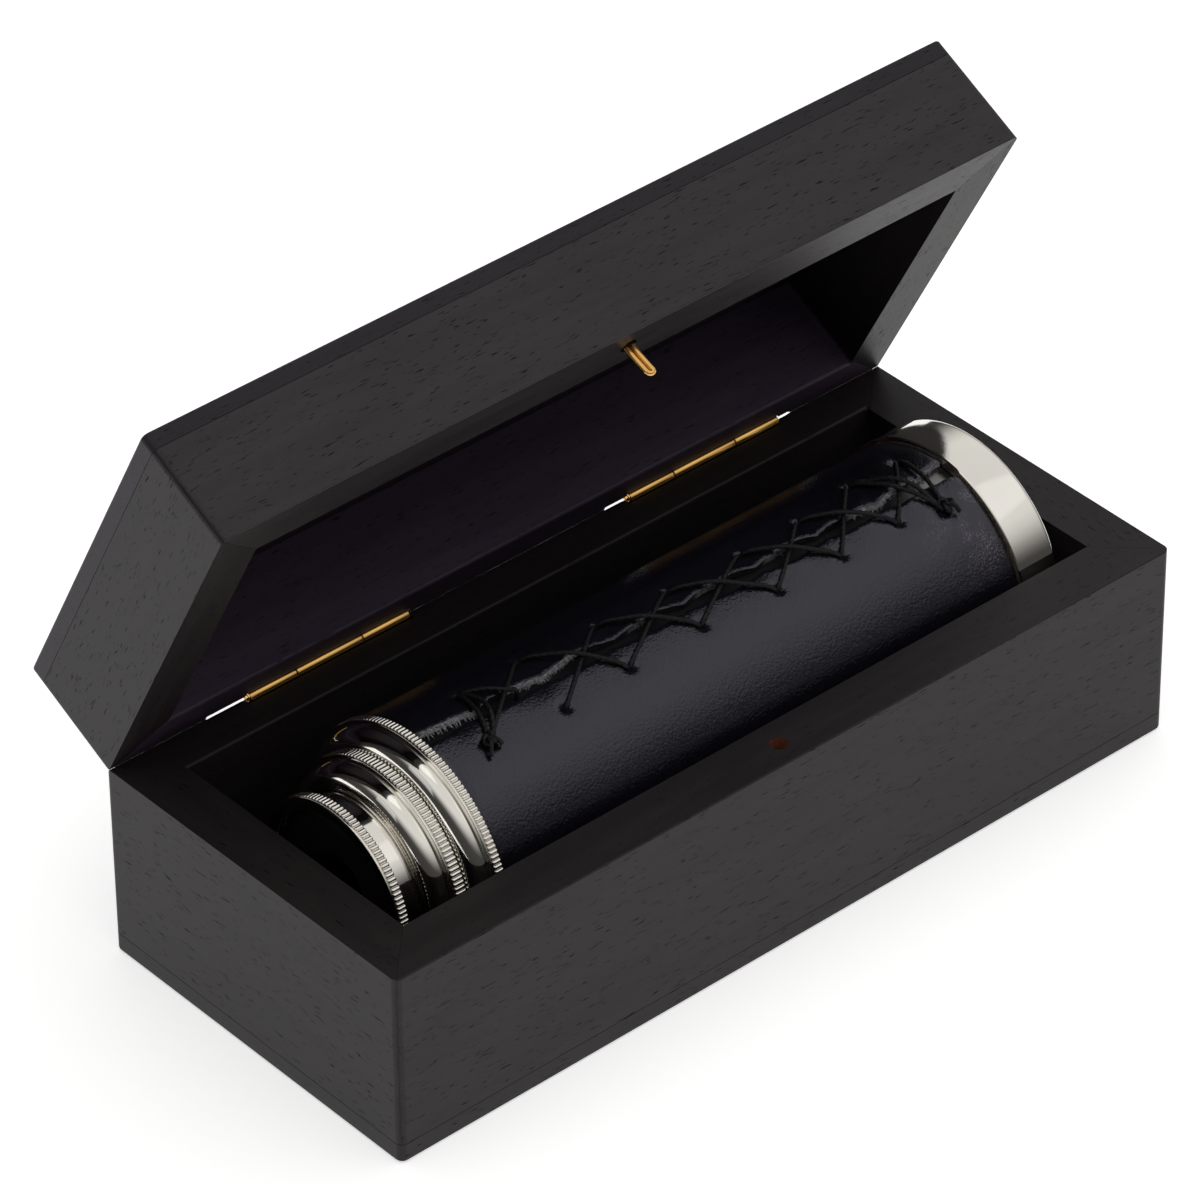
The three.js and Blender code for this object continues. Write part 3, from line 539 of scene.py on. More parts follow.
def glass(name, low, high, roughness, transmission=1.0):
    material, graph, shader = principled(name, 0.0, roughness)
    shader.inputs["IOR"].default_value = 1.5
    shader.inputs["Transmission Weight"].default_value = transmission
    streaks = graph.noise(graph.place((400, 900, 900)), detail=2)
    graph.link(graph.tinted(streaks, low, high), shader.inputs["Base Color"])
    return material


NICKEL = metal("polished_nickel", (0.86, 0.83, 0.77), 0.05)
BRASS = metal("polished_brass", (0.87, 0.51, 0.155), 0.13, 0.08, 0.010)
SHADE_DARKENED_TUBE = shade_darkened_nickel()
BLACKENED = speckled("matt_black", (0.004, 0.004, 0.005), (0.011, 0.011, 0.012), 0.6, 2500, 0.02, 0.15)
LEATHER = leather()
RAW_EDGE = raw_leather()
THREAD = thread()
BARE_WOOD = bare_wood()


# ---- pieces ---------------------------------------------------------------------------------------

def paint(node, material):
    """Gives a CAD node its finished material."""
    mesh = frame["nodes"][node].data
    mesh.materials.clear()
    mesh.materials.append(material)


def body_of(node):
    return frame["nodes"][node]["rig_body"]


def stand_in(name, mesh, node, materials, sharp_deg=SHARP_DEG):
    """A finished piece that rides where its CAD node does and stands for it."""
    for material in materials:
        mesh.materials.append(material)
    for polygon in mesh.polygons:
        polygon.use_smooth = True
    mesh.set_sharp_from_angle(angle=math.radians(sharp_deg))
    piece = bpy.data.objects.new(name, mesh)
    bpy.context.scene.collection.objects.link(piece)
    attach(piece, body_of(node))
    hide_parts(node)
    return piece


def mesh_of(name, points, faces, indices=None):
    """A closed mesh from points in metres, with its faces turned outwards."""
    bm = bmesh.new()
    verts = [bm.verts.new(p) for p in points]
    for k, face in enumerate(faces):
        made = bm.faces.new([verts[i] for i in face])
        made.material_index = indices[k] if indices else 0
    bmesh.ops.recalc_face_normals(bm, faces=bm.faces)
    mesh = bpy.data.meshes.new(name)
    bm.to_mesh(mesh)
    bm.free()
    return mesh


def on_tube(x, degrees, radius):
    """A point in metres, from a place along the tube, an angle round it from +Y, and a radius."""
    angle = math.radians(degrees)
    return Vector((x, AXIS_Y + radius * math.cos(angle), AXIS_Z + radius * math.sin(angle))) * MM


# ---- the case -------------------------------------------------------------------------------------

def as_shut(point, lid):
    """A point of the case in millimetres, with the lid turned shut."""
    return ((SHUT_TURN @ (point - HINGE) + HINGE) if lid else point) / MM


def on_mitre(p):
    return abs((CASE_HALF_LENGTH - abs(p.x)) - (CASE_HALF_WIDTH - abs(p.y))) < MITRE_REACH


def in_catch_hole(points, catch):
    return all(math.dist((p.x, p.y), catch) < HOLE_EDGE_REACH for p in points)


def at_hinges(points):
    return all(
        p.y > CASE_HALF_WIDTH - HINGE_ZONE and abs(p.z - RIM_Z) < HINGE_ZONE_HEIGHT for p in points
    )


def clean_copy(node):
    """The shape of a CAD node with one face to each flat, for editing."""
    bm = bmesh.new()
    bm.from_mesh(frame["nodes"][node].data)
    bmesh.ops.remove_doubles(bm, verts=bm.verts, dist=1e-6)
    bmesh.ops.dissolve_limit(bm, angle_limit=math.radians(1), verts=bm.verts, edges=bm.edges)
    return bm


def soften(bm, edges, width, segments):
    """Rounds edges over by a width in millimetres."""
    bmesh.ops.bevel(
        bm, geom=edges, offset=width * MM, segments=segments, profile=0.5,
        affect="EDGES", clamp_overlap=True,
    )


def finished(bm, node):
    """The edited shape as a mesh for the node's finished piece."""
    mesh = bpy.data.meshes.new(node + "_finished")
    bm.to_mesh(mesh)
    bm.free()
    return mesh


def edges_to_soften(bm, node, catch):
    """A board's sharp edges, as those to ease and those along the groove between walls and panel."""
    lid, panel = node.startswith("lid"), node.endswith("panel")
    groove = panel_level(lid)
    eased, grooved = [], []
    for edge in bm.edges:
        if len(edge.link_faces) != 2 or edge.calc_face_angle() < math.radians(SHARP_DEG):
            continue
        ends = [as_shut(v.co, lid) for v in edge.verts]
        kept = in_catch_hole(ends, catch) or at_hinges(ends) or all(on_mitre(p) for p in ends)
        if kept and not panel:
            continue
        along_groove = all(abs(p.z - groove) < SEAM_REACH for p in ends)
        (grooved if along_groove else eased).append(edge)
    return eased, grooved


def finish_board(node, material, catch):
    """A wooden board whose sharp edges are eased, but not at its mitres, hinges or catch hole."""
    lid = node.startswith("lid")
    bm = clean_copy(node)
    for edges, width in zip(edges_to_soften(bm, node, catch), (EASED_EDGE, SEAM_EDGE)):
        soften(bm, [e for e in edges if e.is_valid], width, 3)
    for face in bm.faces:
        points = [as_shut(v.co, lid) for v in face.verts]
        face.material_index = 1 if in_catch_hole(points, catch) and not lid else 0
    if node.endswith("back_wall"):
        meet_at_hinge_axis(bm, lid)
    piece = stand_in(node + "_finished", finished(bm, node), node, [material, BARE_WOOD])
    even = piece.modifiers.new("even_shading", "WEIGHTED_NORMAL")
    even.keep_sharp = True
    even.weight = 100


def as_built(point, lid):
    """The place, in metres, of a point given with the lid turned shut."""
    return SHUT_TURN.inverted() @ (point - HINGE) + HINGE if lid else point


def meet_at_hinge_axis(bm, lid):
    """Brings the edges of the two back walls to the hinge axis, a hair apart, so no light gets by."""
    axis = HINGE / MM
    hair = (HAIR if lid else -HAIR) * MM
    for vert in bm.verts:
        point = as_shut(vert.co, lid)
        if math.hypot(point.y - axis.y, point.z - axis.z) < HINGE_EDGE_REACH:
            vert.co = as_built(Vector((vert.co.x, HINGE.y, HINGE.z + hair)), lid)


def panel_level(lid):
    """Height of the groove between walls and panel, in millimetres, with the lid shut."""
    if not lid:
        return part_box("base_floor_panel")[1].z / MM
    panel = frame["nodes"]["lid_top_panel"].data
    return min(as_shut(v.co, True).z for v in panel.vertices)


def finish_case():
    catch = catch_place()
    for part in ("base", "lid"):
        turn = (SHUT_ANGLE if part == "lid" else 0, 0, 0)
        walls = ("front_wall", "right_wall", "back_wall", "left_wall")
        panels = ("floor_panel",) if part == "base" else ("top_panel",)
        for k, wall in enumerate(walls + panels):
            node = f"{part}_{wall}"
            along = "Y" if wall in ("left_wall", "right_wall") else "X"
            shift = (3.1 * k, 7.7 * k, 1.9 * k + (5 if part == "lid" else 0))
            # painted light: the lid's inside boards are painted lighter and bluer
            tint = PAINTED_FILL_TINTS.get(node, (1, 1, 1))
            shine = LID_FRONT_POLISH if node == "lid_front_wall" else 1.0
            material = wood(node + "_wood", along, turn, shift, tint, shine)
            finish_board(node, material, catch)


def catch_place():
    """Where the catch wire stands with the lid shut, as (x, y) in millimetres."""
    points = [as_shut(v.co, True) for v in frame["nodes"]["catch_pin"].data.vertices]
    xs = [p.x for p in points]
    ys = [p.y for p in points]
    return ((min(xs) + max(xs)) / 2, (min(ys) + max(ys)) / 2)


def finish_catch():
    """A soft brass wire folded double, its bend a little askew."""
    points = [as_shut(v.co, True) for v in frame["nodes"]["catch_pin"].data.vertices]
    low, high = min(p.z for p in points), max(p.z for p in points)
    x, y = catch_place()
    half = CATCH_PITCH / 2
    bend_z = low + CATCH_WIRE_RADIUS + half
    route = [(x - half, high), (x - half, RIM_Z), (x - half, (RIM_Z + bend_z) / 2)]
    for k in range(13):
        angle = math.pi + k / 12 * math.pi
        route.append((x + half * math.cos(angle), bend_z + half * math.sin(angle)))
    route += [(x + half, (RIM_Z + bend_z) / 2), (x + half, RIM_Z), (x + half, high)]
    path = []
    for px, pz in route:
        out = max(0.0, (RIM_Z - pz) / (RIM_Z - low))
        shut = Vector((px + CATCH_LEAN * out * out, y, pz)) * MM
        path.append(as_built(shut, True))
    points, faces = tube_mesh(dense(path, CATCH_WIRE_STEP), CATCH_WIRE_RADIUS, CATCH_WIRE_SIDES)
    stand_in("catch_wire", mesh_of("catch_wire", points, faces), "catch_pin", [BRASS], 60)


def finish_hinges():
    """Brass knuckles and leaves with softened edges."""
    for side in ("left", "right"):
        for part in ("base_leaf", "lid_leaf", "pin"):
            node = f"{side}_hinge_{part}"
            bm = clean_copy(node)
            sharp = [
                e for e in bm.edges
                if len(e.link_faces) == 2 and e.calc_face_angle() > math.radians(HINGE_SHARP_DEG)
            ]
            soften(bm, sharp, HINGE_EASED_EDGE, 2)
            stand_in(node + "_finished", finished(bm, node), node, [BRASS], 40)


# ---- turned metal ---------------------------------------------------------------------------------

def rounded(corners, steps=5):
    """A closed outline of (x, radius, round, rib depth) corners, each given a round of that size."""
    outline = []
    count = len(corners)
    for k, (x, r, size, ribs) in enumerate(corners):
        here = Vector((x, r))
        before = Vector(corners[k - 1][:2])
        after = Vector(corners[(k + 1) % count][:2])
        size_in = min(size, (before - here).length / 2)
        size_out = min(size, (after - here).length / 2)
        if size <= 0:
            outline.append((x, r, ribs))
            continue
        start = here + (before - here).normalized() * size_in
        end = here + (after - here).normalized() * size_out
        for s in range(steps + 1):
            t = s / steps
            p = start * (1 - t) ** 2 + here * 2 * t * (1 - t) + end * t ** 2
            outline.append((p.x, p.y, ribs))
    return outline


def rib_height(turn, count):
    """1 on top of a rib and 0 in the groove beside it."""
    return abs(math.sin(math.pi * turn * count)) ** 0.5


def turned(name, outline, node, ribs=0, materials=(NICKEL,), material_at=None, sharp_deg=40):
    """A closed outline of (x, radius, rib depth) points turned round the tube's axis."""
    steps = ribs * STEPS_PER_RIB if ribs else SMOOTH_STEPS
    points, faces, indices = [], [], []
    count = len(outline)
    for s in range(steps):
        turn = s / steps
        low = 1 - rib_height(turn, ribs) if ribs else 0
        for x, radius, depth in outline:
            points.append(on_tube(x, 360 * turn, radius - depth * low))
    for s in range(steps):
        here, there = s * count, (s + 1) % steps * count
        for k in range(count):
            after = (k + 1) % count
            faces.append((here + k, here + after, there + after, there + k))
            indices.append(material_at(outline[k], outline[after]) if material_at else 0)
    mesh = mesh_of(name, points, faces, indices)
    return stand_in(name, mesh, node, list(materials), sharp_deg)


def knurled_rim(x0, x1, radius):
    """Corners of a knurled ring: a smooth lip, a groove and a band of ribs."""
    groove = radius - RING_GROOVE_DEPTH
    ribs_start = x0 + RING_LIP + RING_GROOVE
    return [
        (x0, radius - RING_LIP_DROP, 0.12, 0),
        (x0 + RING_LIP, radius - RING_LIP_DROP, 0.1, 0),
        (x0 + RING_LIP + 0.04, groove, 0.03, 0),
        (ribs_start - 0.04, groove, 0.03, 0),
        (ribs_start, radius - 0.1, 0.04, RIB_DEPTH),
        (ribs_start + RIB_CHAMFER, radius, 0.08, RIB_DEPTH),
        (x1 - 0.18, radius, 0.08, RIB_DEPTH),
        (x1, radius - RIB_CHAMFER, 0.05, RIB_DEPTH),
    ]


def flare(start, end, steps=12):
    """A convex quarter-round from one (x, radius) to another."""
    corners = []
    for s in range(steps + 1):
        angle = s / steps * math.pi / 2
        x = start[0] + (end[0] - start[0]) * (1 - math.cos(angle))
        r = start[1] + (end[1] - start[1]) * math.sin(angle)
        corners.append((x, r, 0, 0))
    return corners


def rib_count(radius):
    return round(2 * math.pi * radius / RIB_PITCH)


def along_and_radius(node):
    """Where a round node starts and ends along the tube, and its radius, in millimetres."""
    low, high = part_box(node)
    return low.x / MM, high.x / MM, (high.z - low.z) / 2 / MM


def finish_eyepiece():
    x0, x1, radius = along_and_radius("eyepiece_ring")
    start, end, draw = along_and_radius("eyepiece_draw_tube")
    outline = rounded([
        (x0 + EYE_RIM, draw - EYE_RIM, 0.1, 0),
        (x0, draw - EYE_RIM, 0.15, 0),
        *knurled_rim(x0, x1, radius),
        (x1, draw + SLIDING_GAP, 0, 0),
        (x0 + EYE_RIM, draw + SLIDING_GAP, 0, 0),
    ])
    turned("eye_ring", outline, "eyepiece_ring", rib_count(radius))
    turned("eye_draw_tube", plain_tube(start, end, draw - DRAW_WALL, draw), "eyepiece_draw_tube")


def plain_tube(start, end, inner, outer):
    return rounded([
        (start, inner, 0.1, 0),
        (end, inner, 0.1, 0),
        (end, outer, 0.2, 0),
        (start, outer, 0.1, 0),
    ])


def collar_front(flare_start, ring_start, ring_end, radius):
    """Corners of a collar's outside: a flare from one (x, radius), and the knurled ring behind it."""
    return [
        *flare(flare_start, (ring_start - FLARE_END[0], radius - FLARE_END[1])),
        (ring_start, radius - RING_FOOT, 0.1, 0),
        *knurled_rim(ring_start, ring_end, radius),
    ]


def finish_mount():
    x0, x_end, radius = along_and_radius("eyepiece_mount")
    ring_start, ring_end = (x0 + x for x in MOUNT_RING)
    outline = rounded([
        (x0, MOUNT_BORE, 0.2, 0),
        (x0, MOUNT_NOSE - 0.25, 0.12, 0),
        *collar_front((x0 + 0.1, MOUNT_NOSE), ring_start, ring_end, radius),
        (ring_end, SPIGOT_RADIUS, 0.1, 0),
        (x_end, SPIGOT_RADIUS, 0.2, 0),
        (x_end, MOUNT_BORE, 0.2, 0),
    ])
    turned("eye_mount_collar", outline, "eyepiece_mount", rib_count(radius))


def finish_ferrule():
    x0, socket_end, radius = along_and_radius("tube_ferrule")
    ring_start, ring_end = (x0 + x for x in FERRULE_RING)
    over_tube = TUBE_RADIUS + SLIDING_GAP
    in_tube = TUBE_RADIUS - TUBE_WALL - SLIDING_GAP
    socket = SPIGOT_RADIUS + SLIDING_GAP
    outline = rounded([
        (x0, socket, 0.1, 0),
        *collar_front((x0, FERRULE_NOSE), ring_start, ring_end, radius),
        (ring_end, over_tube, 0, 0),
        (ring_start + FERRULE_SEAT, over_tube, 0, 0),
        (ring_start + FERRULE_SEAT, in_tube, 0, 0),
        (socket_end, in_tube, 0.1, 0),
        (socket_end, socket, 0.1, 0),
    ])
    turned("tube_end_ferrule", outline, "tube_ferrule", rib_count(radius))


def finish_tube():
    start, end, outer = along_and_radius("barrel_tube")
    inner = outer - TUBE_WALL
    corners = [(start, inner), (end, inner), (end, outer), (start, outer)]
    outline = rounded([(x, r, 0.1, 0) for x, r in corners])
    # the tube carries painted shade: dark under the leather's seam, dimmed where bare
    turned("barrel_tube_shade_darkened", outline, "barrel_tube", 0, (SHADE_DARKENED_TUBE,))


def finish_cell_ring():
    """The plain polished band, with a line of bare brass where it meets the leather."""
    x0, x1, radius = along_and_radius("object_cell_ring")
    mouth = TUBE_RADIUS + BAND_GAP
    seat = TUBE_HIGH.x / MM + BAND_GAP
    outline = rounded([
        (x0, mouth, 0.05, 0),
        (x0, radius - 0.15, 0.05, 0),
        (x0 + 0.22, radius, 0.05, 0),
        (x1, radius, BAND_ROUND, 0),
        (x1, BAND_LIP_RADIUS, 0.3, 0),
        (x1 - BAND_WALL, BAND_LIP_RADIUS, 0.1, 0),
        (x1 - BAND_WALL, BAND_SLEEVE_RADIUS, 0, 0),
        (seat, BAND_SLEEVE_RADIUS, 0, 0),
        (seat, mouth, 0, 0),
    ], steps=8)

    def brass_edge(a, b):
        at_edge = max(a[0], b[0]) < x0 + BRASS_LINE[0]
        return 1 if at_edge and min(a[1], b[1]) > radius - BRASS_LINE[1] else 0

    turned("cell_turning_band", outline, "object_cell_ring", 0, (NICKEL, BRASS), brass_edge)


# ---- leather --------------------------------------------------------------------------------------

def between_holes(x, holes):
    """0 at a lacing hole and 1 half way between two, with the two ends of the tube standing open."""
    places = [h[0] for h in holes]
    if x <= places[0]:
        return min(1.0, (places[0] - x) / END_OPENS_OVER[0]) ** 0.8
    if x >= places[-1]:
        return min(1.0, (x - places[-1]) / END_OPENS_OVER[1]) ** 0.8
    for a, b in zip(places, places[1:]):
        if a <= x <= b:
            return math.sin(math.pi * (x - a) / (b - a)) ** 0.9
    return 0.0


def waver(x, seed, pace=0.25):
    return noise.noise(Vector((x * pace, seed * 13.7, 0.5)))


def seam_middle(x):
    return SEAM_START_DEG + SEAM_DRIFT * (x - SEAM_START)


def seam_edge(x, front):
    """The angle of a seam edge at x: the front piece's edge or the back piece's."""
    holes = LOWER_HOLES if front else UPPER_HOLES
    opening = SEAM_HALF_GAP + SEAM_OPENS * between_holes(x, holes) * (0.8 + 0.5 * waver(x, 1 + front))
    opening += 0.5 * waver(x, 3 + front, 1.3)
    if front:
        return seam_middle(x) + opening
    mouth = MOUTH_OPENS * min(1.0, max(0.0, x - MOUTH_START) / MOUTH_REACH)
    return seam_middle(x) - opening - mouth


def edge_lift(x, front):
    """How far the seam edge curls up off the tube."""
    holes = LOWER_HOLES if front else UPPER_HOLES
    share = 0.75 if front else 1.0
    lift = share * EDGE_LIFT * between_holes(x, holes) * (0.8 + 0.7 * waver(x, 5 + front, 0.18))
    return lift - EDGE_SINK


def leather_radius(x, degrees):
    """The leather's outer surface: curled edges, dimples at the holes and slow unevenness."""
    front = degrees > seam_middle(x)
    edge = seam_edge(x, front)
    from_edge = max(0.0, (degrees - edge if front else edge - degrees)) * math.radians(LEATHER_RADIUS)
    radius = LEATHER_RADIUS + edge_lift(x, front) * math.exp(-((from_edge / EDGE_LIFT_REACH) ** 2))
    for hole_x, hole_deg in LOWER_HOLES if front else UPPER_HOLES:
        away = math.hypot(x - hole_x, (degrees - hole_deg) * math.radians(LEATHER_RADIUS))
        if away < 4 * HOLE_REACH:
            radius -= HOLE_DIMPLE * math.exp(-((away / HOLE_REACH) ** 2))
            radius -= HOLE_DISH * math.exp(-((away / (2.4 * HOLE_REACH)) ** 2))
    slow = noise.noise(Vector((x * 0.11, degrees * 0.045, 2.2)))
    quick = noise.noise(Vector((x * 0.45, degrees * 0.17, 8.1)))
    near_seam = math.exp(-from_edge / 9)
    return radius + 0.05 * slow + (0.004 + 0.03 * near_seam) * quick


def leather_angles(x):
    """Angles across the leather from its front edge all the way round to its back edge."""
    front, back = seam_edge(x, True), seam_edge(x, False)
    fine = [k * DENSE_STEP_DEG for k in range(round(DENSE_DEG / DENSE_STEP_DEG) + 1)]
    start, end = front + fine[-1], back + 360 - fine[-1]
    coarse_count = round((360 - 2 * DENSE_DEG) / COARSE_STEP_DEG)
    coarse = [start + (end - start) * k / coarse_count for k in range(1, coarse_count)]
    return [front + a for a in fine] + coarse + [back + 360 - a for a in reversed(fine)]


def finish_leather():
    low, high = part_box("leather_wrap")
    start, end = low.x / MM, high.x / MM
    columns = round((end - start) / LEATHER_STEP)
    points, faces, indices = [], [], []
    across = len(leather_angles(start))
    ring = 2 * across
    for c in range(columns + 1):
        x = start + (end - start) * c / columns
        end_ease = 0.25 * math.exp(-min(x - start, end - x) / 0.5)
        angles = leather_angles(x)
        outer = []
        for k, degrees in enumerate(angles):
            wrapped = degrees if degrees < seam_middle(x) + 180 else degrees - 360
            edge_ease = 0.18 if k in (0, across - 1) else 0
            outer.append((degrees, leather_radius(x, wrapped) - end_ease - edge_ease))
        points += [on_tube(x, degrees, r) for degrees, r in outer]
        thickness = LEATHER_RADIUS - LEATHER_INNER
        for degrees, r in reversed(outer):
            points.append(on_tube(x, degrees, max(LEATHER_INNER, r - thickness)))
    for c in range(columns):
        here, there = c * ring, (c + 1) * ring
        for k in range(ring):
            after = (k + 1) % ring
            faces.append((here + k, here + after, there + after, there + k))
            indices.append(1 if k == across - 1 else 0)
    for c in (0, columns):
        base = c * ring
        for k in range(across - 1):
            other = ring - 1 - k
            faces.append((base + k, base + k + 1, base + other - 1, base + other))
            indices.append(1)
    mesh = mesh_of("leather_sleeve", points, faces, indices)
    stand_in("leather_sleeve", mesh, "leather_wrap", [LEATHER, RAW_EDGE], 55)


def add_edge_fibres():
    """Loose fibres along the cut edge of the back piece of leather."""
    low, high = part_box("leather_wrap")
    points, faces = [], []
    for _ in range(FIBRE_TRIES):
        x = random.uniform(low.x / MM + 0.3, high.x / MM - 0.3)
        if not any(a <= x <= b and random.random() < share for a, b, share in RAW_PATCHES):
            continue
        degrees = seam_edge(x, False)
        radius = leather_radius(x, degrees) - random.uniform(0.1, 0.9)
        root = on_tube(x, degrees - 0.3, radius)
        reach = random.uniform(0.25, 1.5 if x < RAW_PATCHES[0][1] else 0.8)
        tip = on_tube(
            x + random.uniform(-0.5, 0.5),
            degrees + reach / math.radians(LEATHER_RADIUS),
            radius - random.uniform(0.0, 0.7),
        )
        middle = (root + tip) / 2 + Vector((0, 0, random.uniform(0.0, 0.2))) * MM
        fibre, quads = tube_mesh([root, middle, tip], FIBRE_RADIUS, 5)
        faces += [tuple(i + len(points) for i in quad) for quad in quads]
        points += fibre
    mesh = mesh_of("edge_fibres", points, faces)
    mesh.materials.append(RAW_EDGE)
    piece = bpy.data.objects.new("edge_fibres", mesh)
    bpy.context.scene.collection.objects.link(piece)
    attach(piece, body_of("leather_wrap"))


# ---- thread ---------------------------------------------------------------------------------------

def dense(route, step):
    """Points every step millimetres along a smooth curve through the route."""
    padded = [route[0] * 2 - route[1], *route, route[-1] * 2 - route[-2]]
    fine = []
    for a, b, c, d in zip(padded, padded[1:], padded[2:], padded[3:]):
        pieces = max(2, round((c - b).length / (step * MM)))
        for s in range(pieces):
            t = s / pieces
            fine.append(0.5 * (
                2 * b + (c - a) * t + (2 * a - 5 * b + 4 * c - d) * t ** 2
                + (3 * b - a - 3 * c + d) * t ** 3
            ))
    fine.append(route[-1])
    return fine


def tube_mesh(path, radius, sides, lobes=0, turn_length=1.0):
    """Points and faces of a capped tube along a path, its section lobed and twisted if asked."""
    points, faces = [], []
    normal = None
    travelled = 0.0
    for k, p in enumerate(path):
        ahead = path[min(k + 1, len(path) - 1)] - path[max(k - 1, 0)]
        ahead.normalize()
        if normal is None:
            normal = ahead.orthogonal().normalized()
        normal = (normal - ahead * normal.dot(ahead)).normalized()
        side = ahead.cross(normal)
        travelled += (p - path[k - 1]).length / MM if k else 0
        for s in range(sides):
            angle = 2 * math.pi * s / sides
            dip = 0
            if lobes:
                phase = lobes * angle / 2 - math.pi * travelled * lobes / turn_length / 2
                dip = 0.24 * (1 - abs(math.cos(phase)))
            points.append(p + (normal * math.cos(angle) + side * math.sin(angle)) * radius * (1 - dip) * MM)
    for k in range(len(path) - 1):
        here, there = k * sides, (k + 1) * sides
        for s in range(sides):
            after = (s + 1) % sides
            faces.append((here + s, here + after, there + after, there + s))
    last = (len(path) - 1) * sides
    faces.append(tuple(range(sides - 1, -1, -1)))
    faces.append(tuple(last + s for s in range(sides)))
    return points, faces


def thread_height(x, degrees):
    """Radius of a thread's centre where it lies on the leather or spans the open seam."""
    inside = seam_edge(x, False) < degrees < seam_edge(x, True)
    if not inside:
        return leather_radius(x, degrees) + THREAD_RADIUS
    back = leather_radius(x, seam_edge(x, False))
    front = leather_radius(x, seam_edge(x, True))
    share = (degrees - seam_edge(x, False)) / (seam_edge(x, True) - seam_edge(x, False))
    return back + (front - back) * share + THREAD_RADIUS


def strand(start, end, over, bow=0.0):
    """A stretch of thread from hole to hole: up out of one, over the seam, down into the other."""
    path = [on_tube(*start, LEATHER_RADIUS - THREAD_SINK)]
    for k in range(13):
        t = 0.03 + 0.94 * k / 12
        x = start[0] + (end[0] - start[0]) * t + bow * math.sin(math.pi * t)
        degrees = start[1] + (end[1] - start[1]) * t
        clear = over * math.sin(math.pi * t) ** 2
        taut = 0.04 * math.sin(math.pi * t)
        path.append(on_tube(x, degrees, thread_height(x, degrees) + clear + taut))
    path.append(on_tube(*end, LEATHER_RADIUS - THREAD_SINK))
    return path


def knot(place, size, turn):
    """An overhand knot, as a trefoil lying on the leather."""
    x, degrees = place
    path = []
    for k in range(41):
        t = 2 * math.pi * k / 40
        along = math.sin(t) + 2 * math.sin(2 * t)
        around = math.cos(t) - 2 * math.cos(2 * t)
        u = along * math.cos(turn) - around * math.sin(turn)
        v = along * math.sin(turn) + around * math.cos(turn)
        height = LEATHER_RADIUS + KNOT_HEIGHT - KNOT_WEAVE * math.sin(3 * t)
        path.append(on_tube(x + size * u, degrees + size * v / math.radians(LEATHER_RADIUS), height))
    return path


def tail(place, steps):
    """A loose end from a knot, as (along, angle, height) steps."""
    x, degrees = place
    return [on_tube(x + dx, degrees + dd, LEATHER_RADIUS + h) for dx, dd, h in steps]


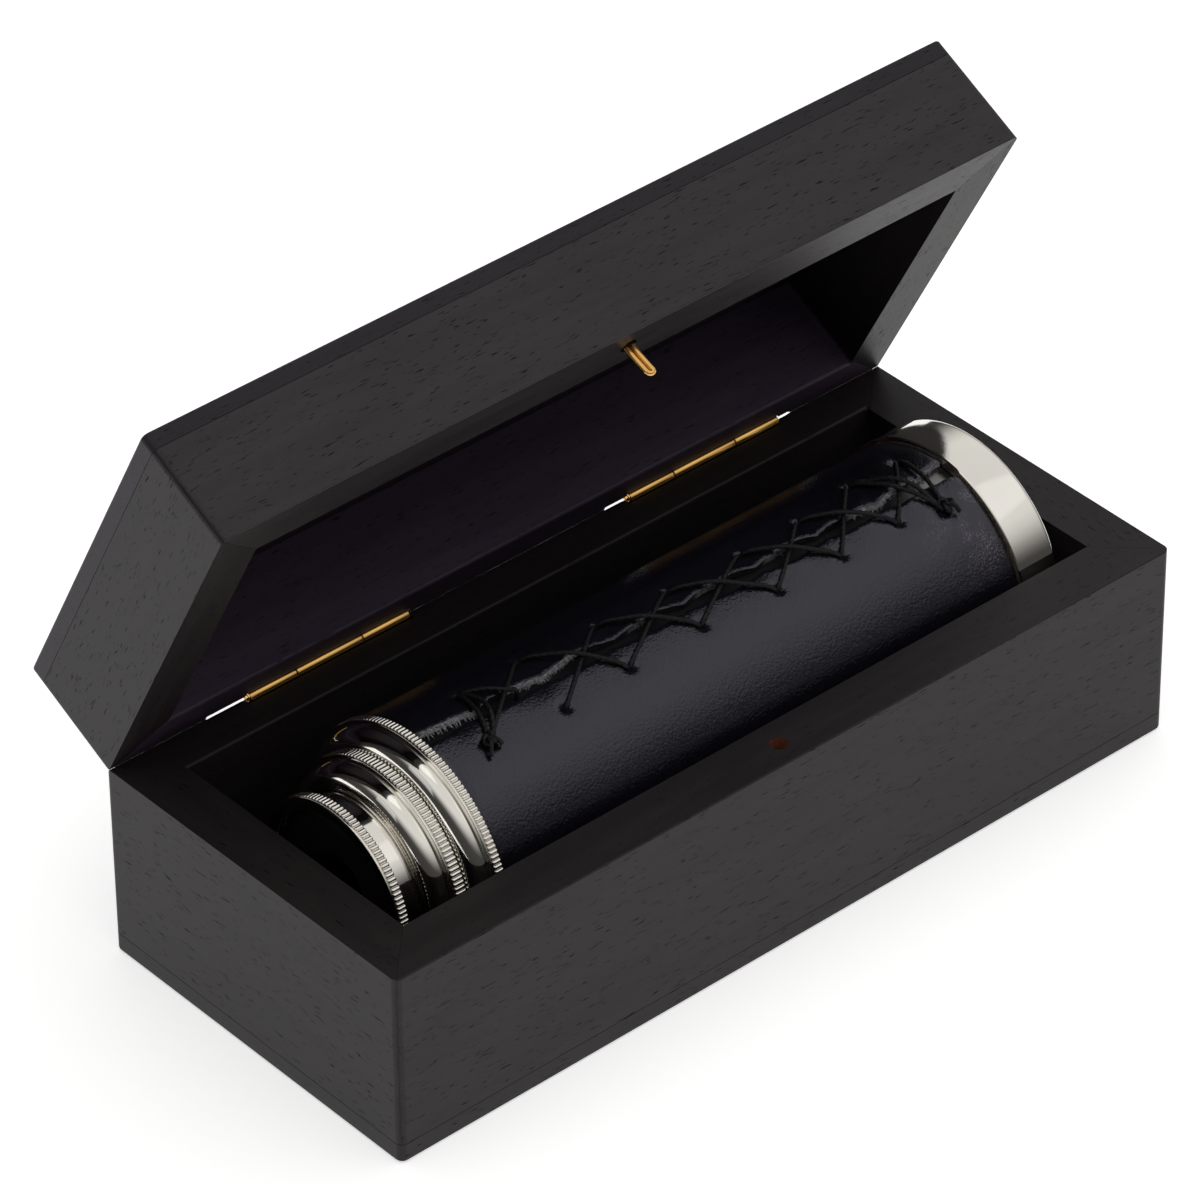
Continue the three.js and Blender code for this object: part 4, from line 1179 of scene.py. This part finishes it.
def finish_lacing():
    routes = []
    for k in range(len(UPPER_HOLES) - 1):
        bow = 0.5 * waver(k * 9.0, 11)
        routes.append(strand(UPPER_HOLES[k + 1], LOWER_HOLES[k], UNDER_STRAND, bow))
        far_end = FIRST_DIVE if k == 0 else LOWER_HOLES[k + 1]
        routes.append(strand(UPPER_HOLES[k], far_end, 0.3 if k == 0 else OVER_STRAND, -bow))
    first, last = LOWER_HOLES[0], LOWER_HOLES[-1]
    routes.append(strand(UPPER_HOLES[0], first, 0.2, 0.8))
    routes.append(strand(UPPER_HOLES[0], (first[0] + 1.2, first[1] - 1), 0.5, 2.0))
    routes.append(strand(UPPER_HOLES[-1], last, 0.3, 0.5))
    doubled = (UPPER_HOLES[-2][0] + 1.0, UPPER_HOLES[-2][1] + 2.5)
    routes.append(strand(doubled, (last[0] - 0.6, last[1] - 1.5), 1.3, 0.9))
    routes.append(knot((first[0] + 0.3, first[1] - 1.0), 0.36, 0.4))
    routes.append(knot((last[0] + 0.4, last[1] - 0.5), 0.42, 1.3))
    routes.append(tail(first, [(0.1, -1, 0.9), (-0.5, 2, 1.2), (-1.0, 4.2, 0.8), (-1.4, 6, 0.5)]))
    routes.append(tail(first, [(0.4, -1, 0.8), (1.0, 1.5, 1.1), (1.4, 3.5, 0.6)]))
    routes.append(tail(last, [(0.2, -1, 0.9), (1.0, 2, 1.4), (1.5, 5, 0.8)]))
    points, faces = [], []
    for route in routes:
        path = dense(route, THREAD_STEP)
        tube, quads = tube_mesh(path, THREAD_RADIUS, THREAD_SIDES, THREAD_PLIES, THREAD_TWIST)
        faces += [tuple(i + len(points) for i in quad) for quad in quads]
        points += tube
    mesh = mesh_of("lacing_thread", points, faces)
    stand_in("lacing_thread", mesh, "lacing_cord", [THREAD], 180)


# ---- inner parts ----------------------------------------------------------------------------------

def finish_inner_parts():
    clear = glass("clear_glass", (0.93, 0.96, 0.96), (0.98, 1.0, 1.0), 0.02)
    frosted = glass("ground_glass", (0.88, 0.88, 0.88), (0.97, 0.97, 0.97), 0.55)
    silver = metal("mirror_silver", (0.90, 0.91, 0.92), 0.01, 0.01, 0.0005)
    foam = speckled("grey_foam", (0.02, 0.02, 0.02), (0.07, 0.07, 0.07), 0.95, 1300, 0.25)
    card = speckled("rolled_card", (0.20, 0.13, 0.07), (0.34, 0.25, 0.15), 0.9, 900, 0.06)
    paint("eye_lens", clear)
    paint("cell_front_glass", clear)
    paint("cell_diffuser_glass", frosted)
    paint("mirror_liner_tube", card)
    paint("cell_guide_ring", BRASS)
    for k in (1, 2, 3):
        paint(f"mirror_{k}", silver)
        paint(f"mirror_packing_{k}", foam)
    dark = (
        "eyepiece_disc", "lens_lock_ring", "mirror_eye_stop",
        "object_cell_sleeve", "cell_spacer_ring", "cell_lock_ring",
    )
    for node in dark:
        paint(node, BLACKENED)
    tints = {
        "red": (0.62, 0.02, 0.03),
        "blue": (0.02, 0.08, 0.60),
        "green": (0.02, 0.45, 0.12),
        "amber": (0.80, 0.30, 0.03),
    }
    for colour, tint in tints.items():
        pale = tuple(min(1.0, c * 1.3 + 0.05) for c in tint)
        chip = glass(colour + "_glass", tint, pale, 0.04, 0.85)
        for shape in ("bead", "rod", "shard"):
            paint(f"{colour}_glass_{shape}", chip)


# ---- put together ---------------------------------------------------------------------------------

add_camera()
add_studio()
add_floor()
finish_case()
finish_catch()
finish_hinges()
finish_eyepiece()
finish_mount()
finish_ferrule()
finish_tube()
finish_cell_ring()
finish_leather()
add_edge_fibres()
finish_lacing()
finish_inner_parts()
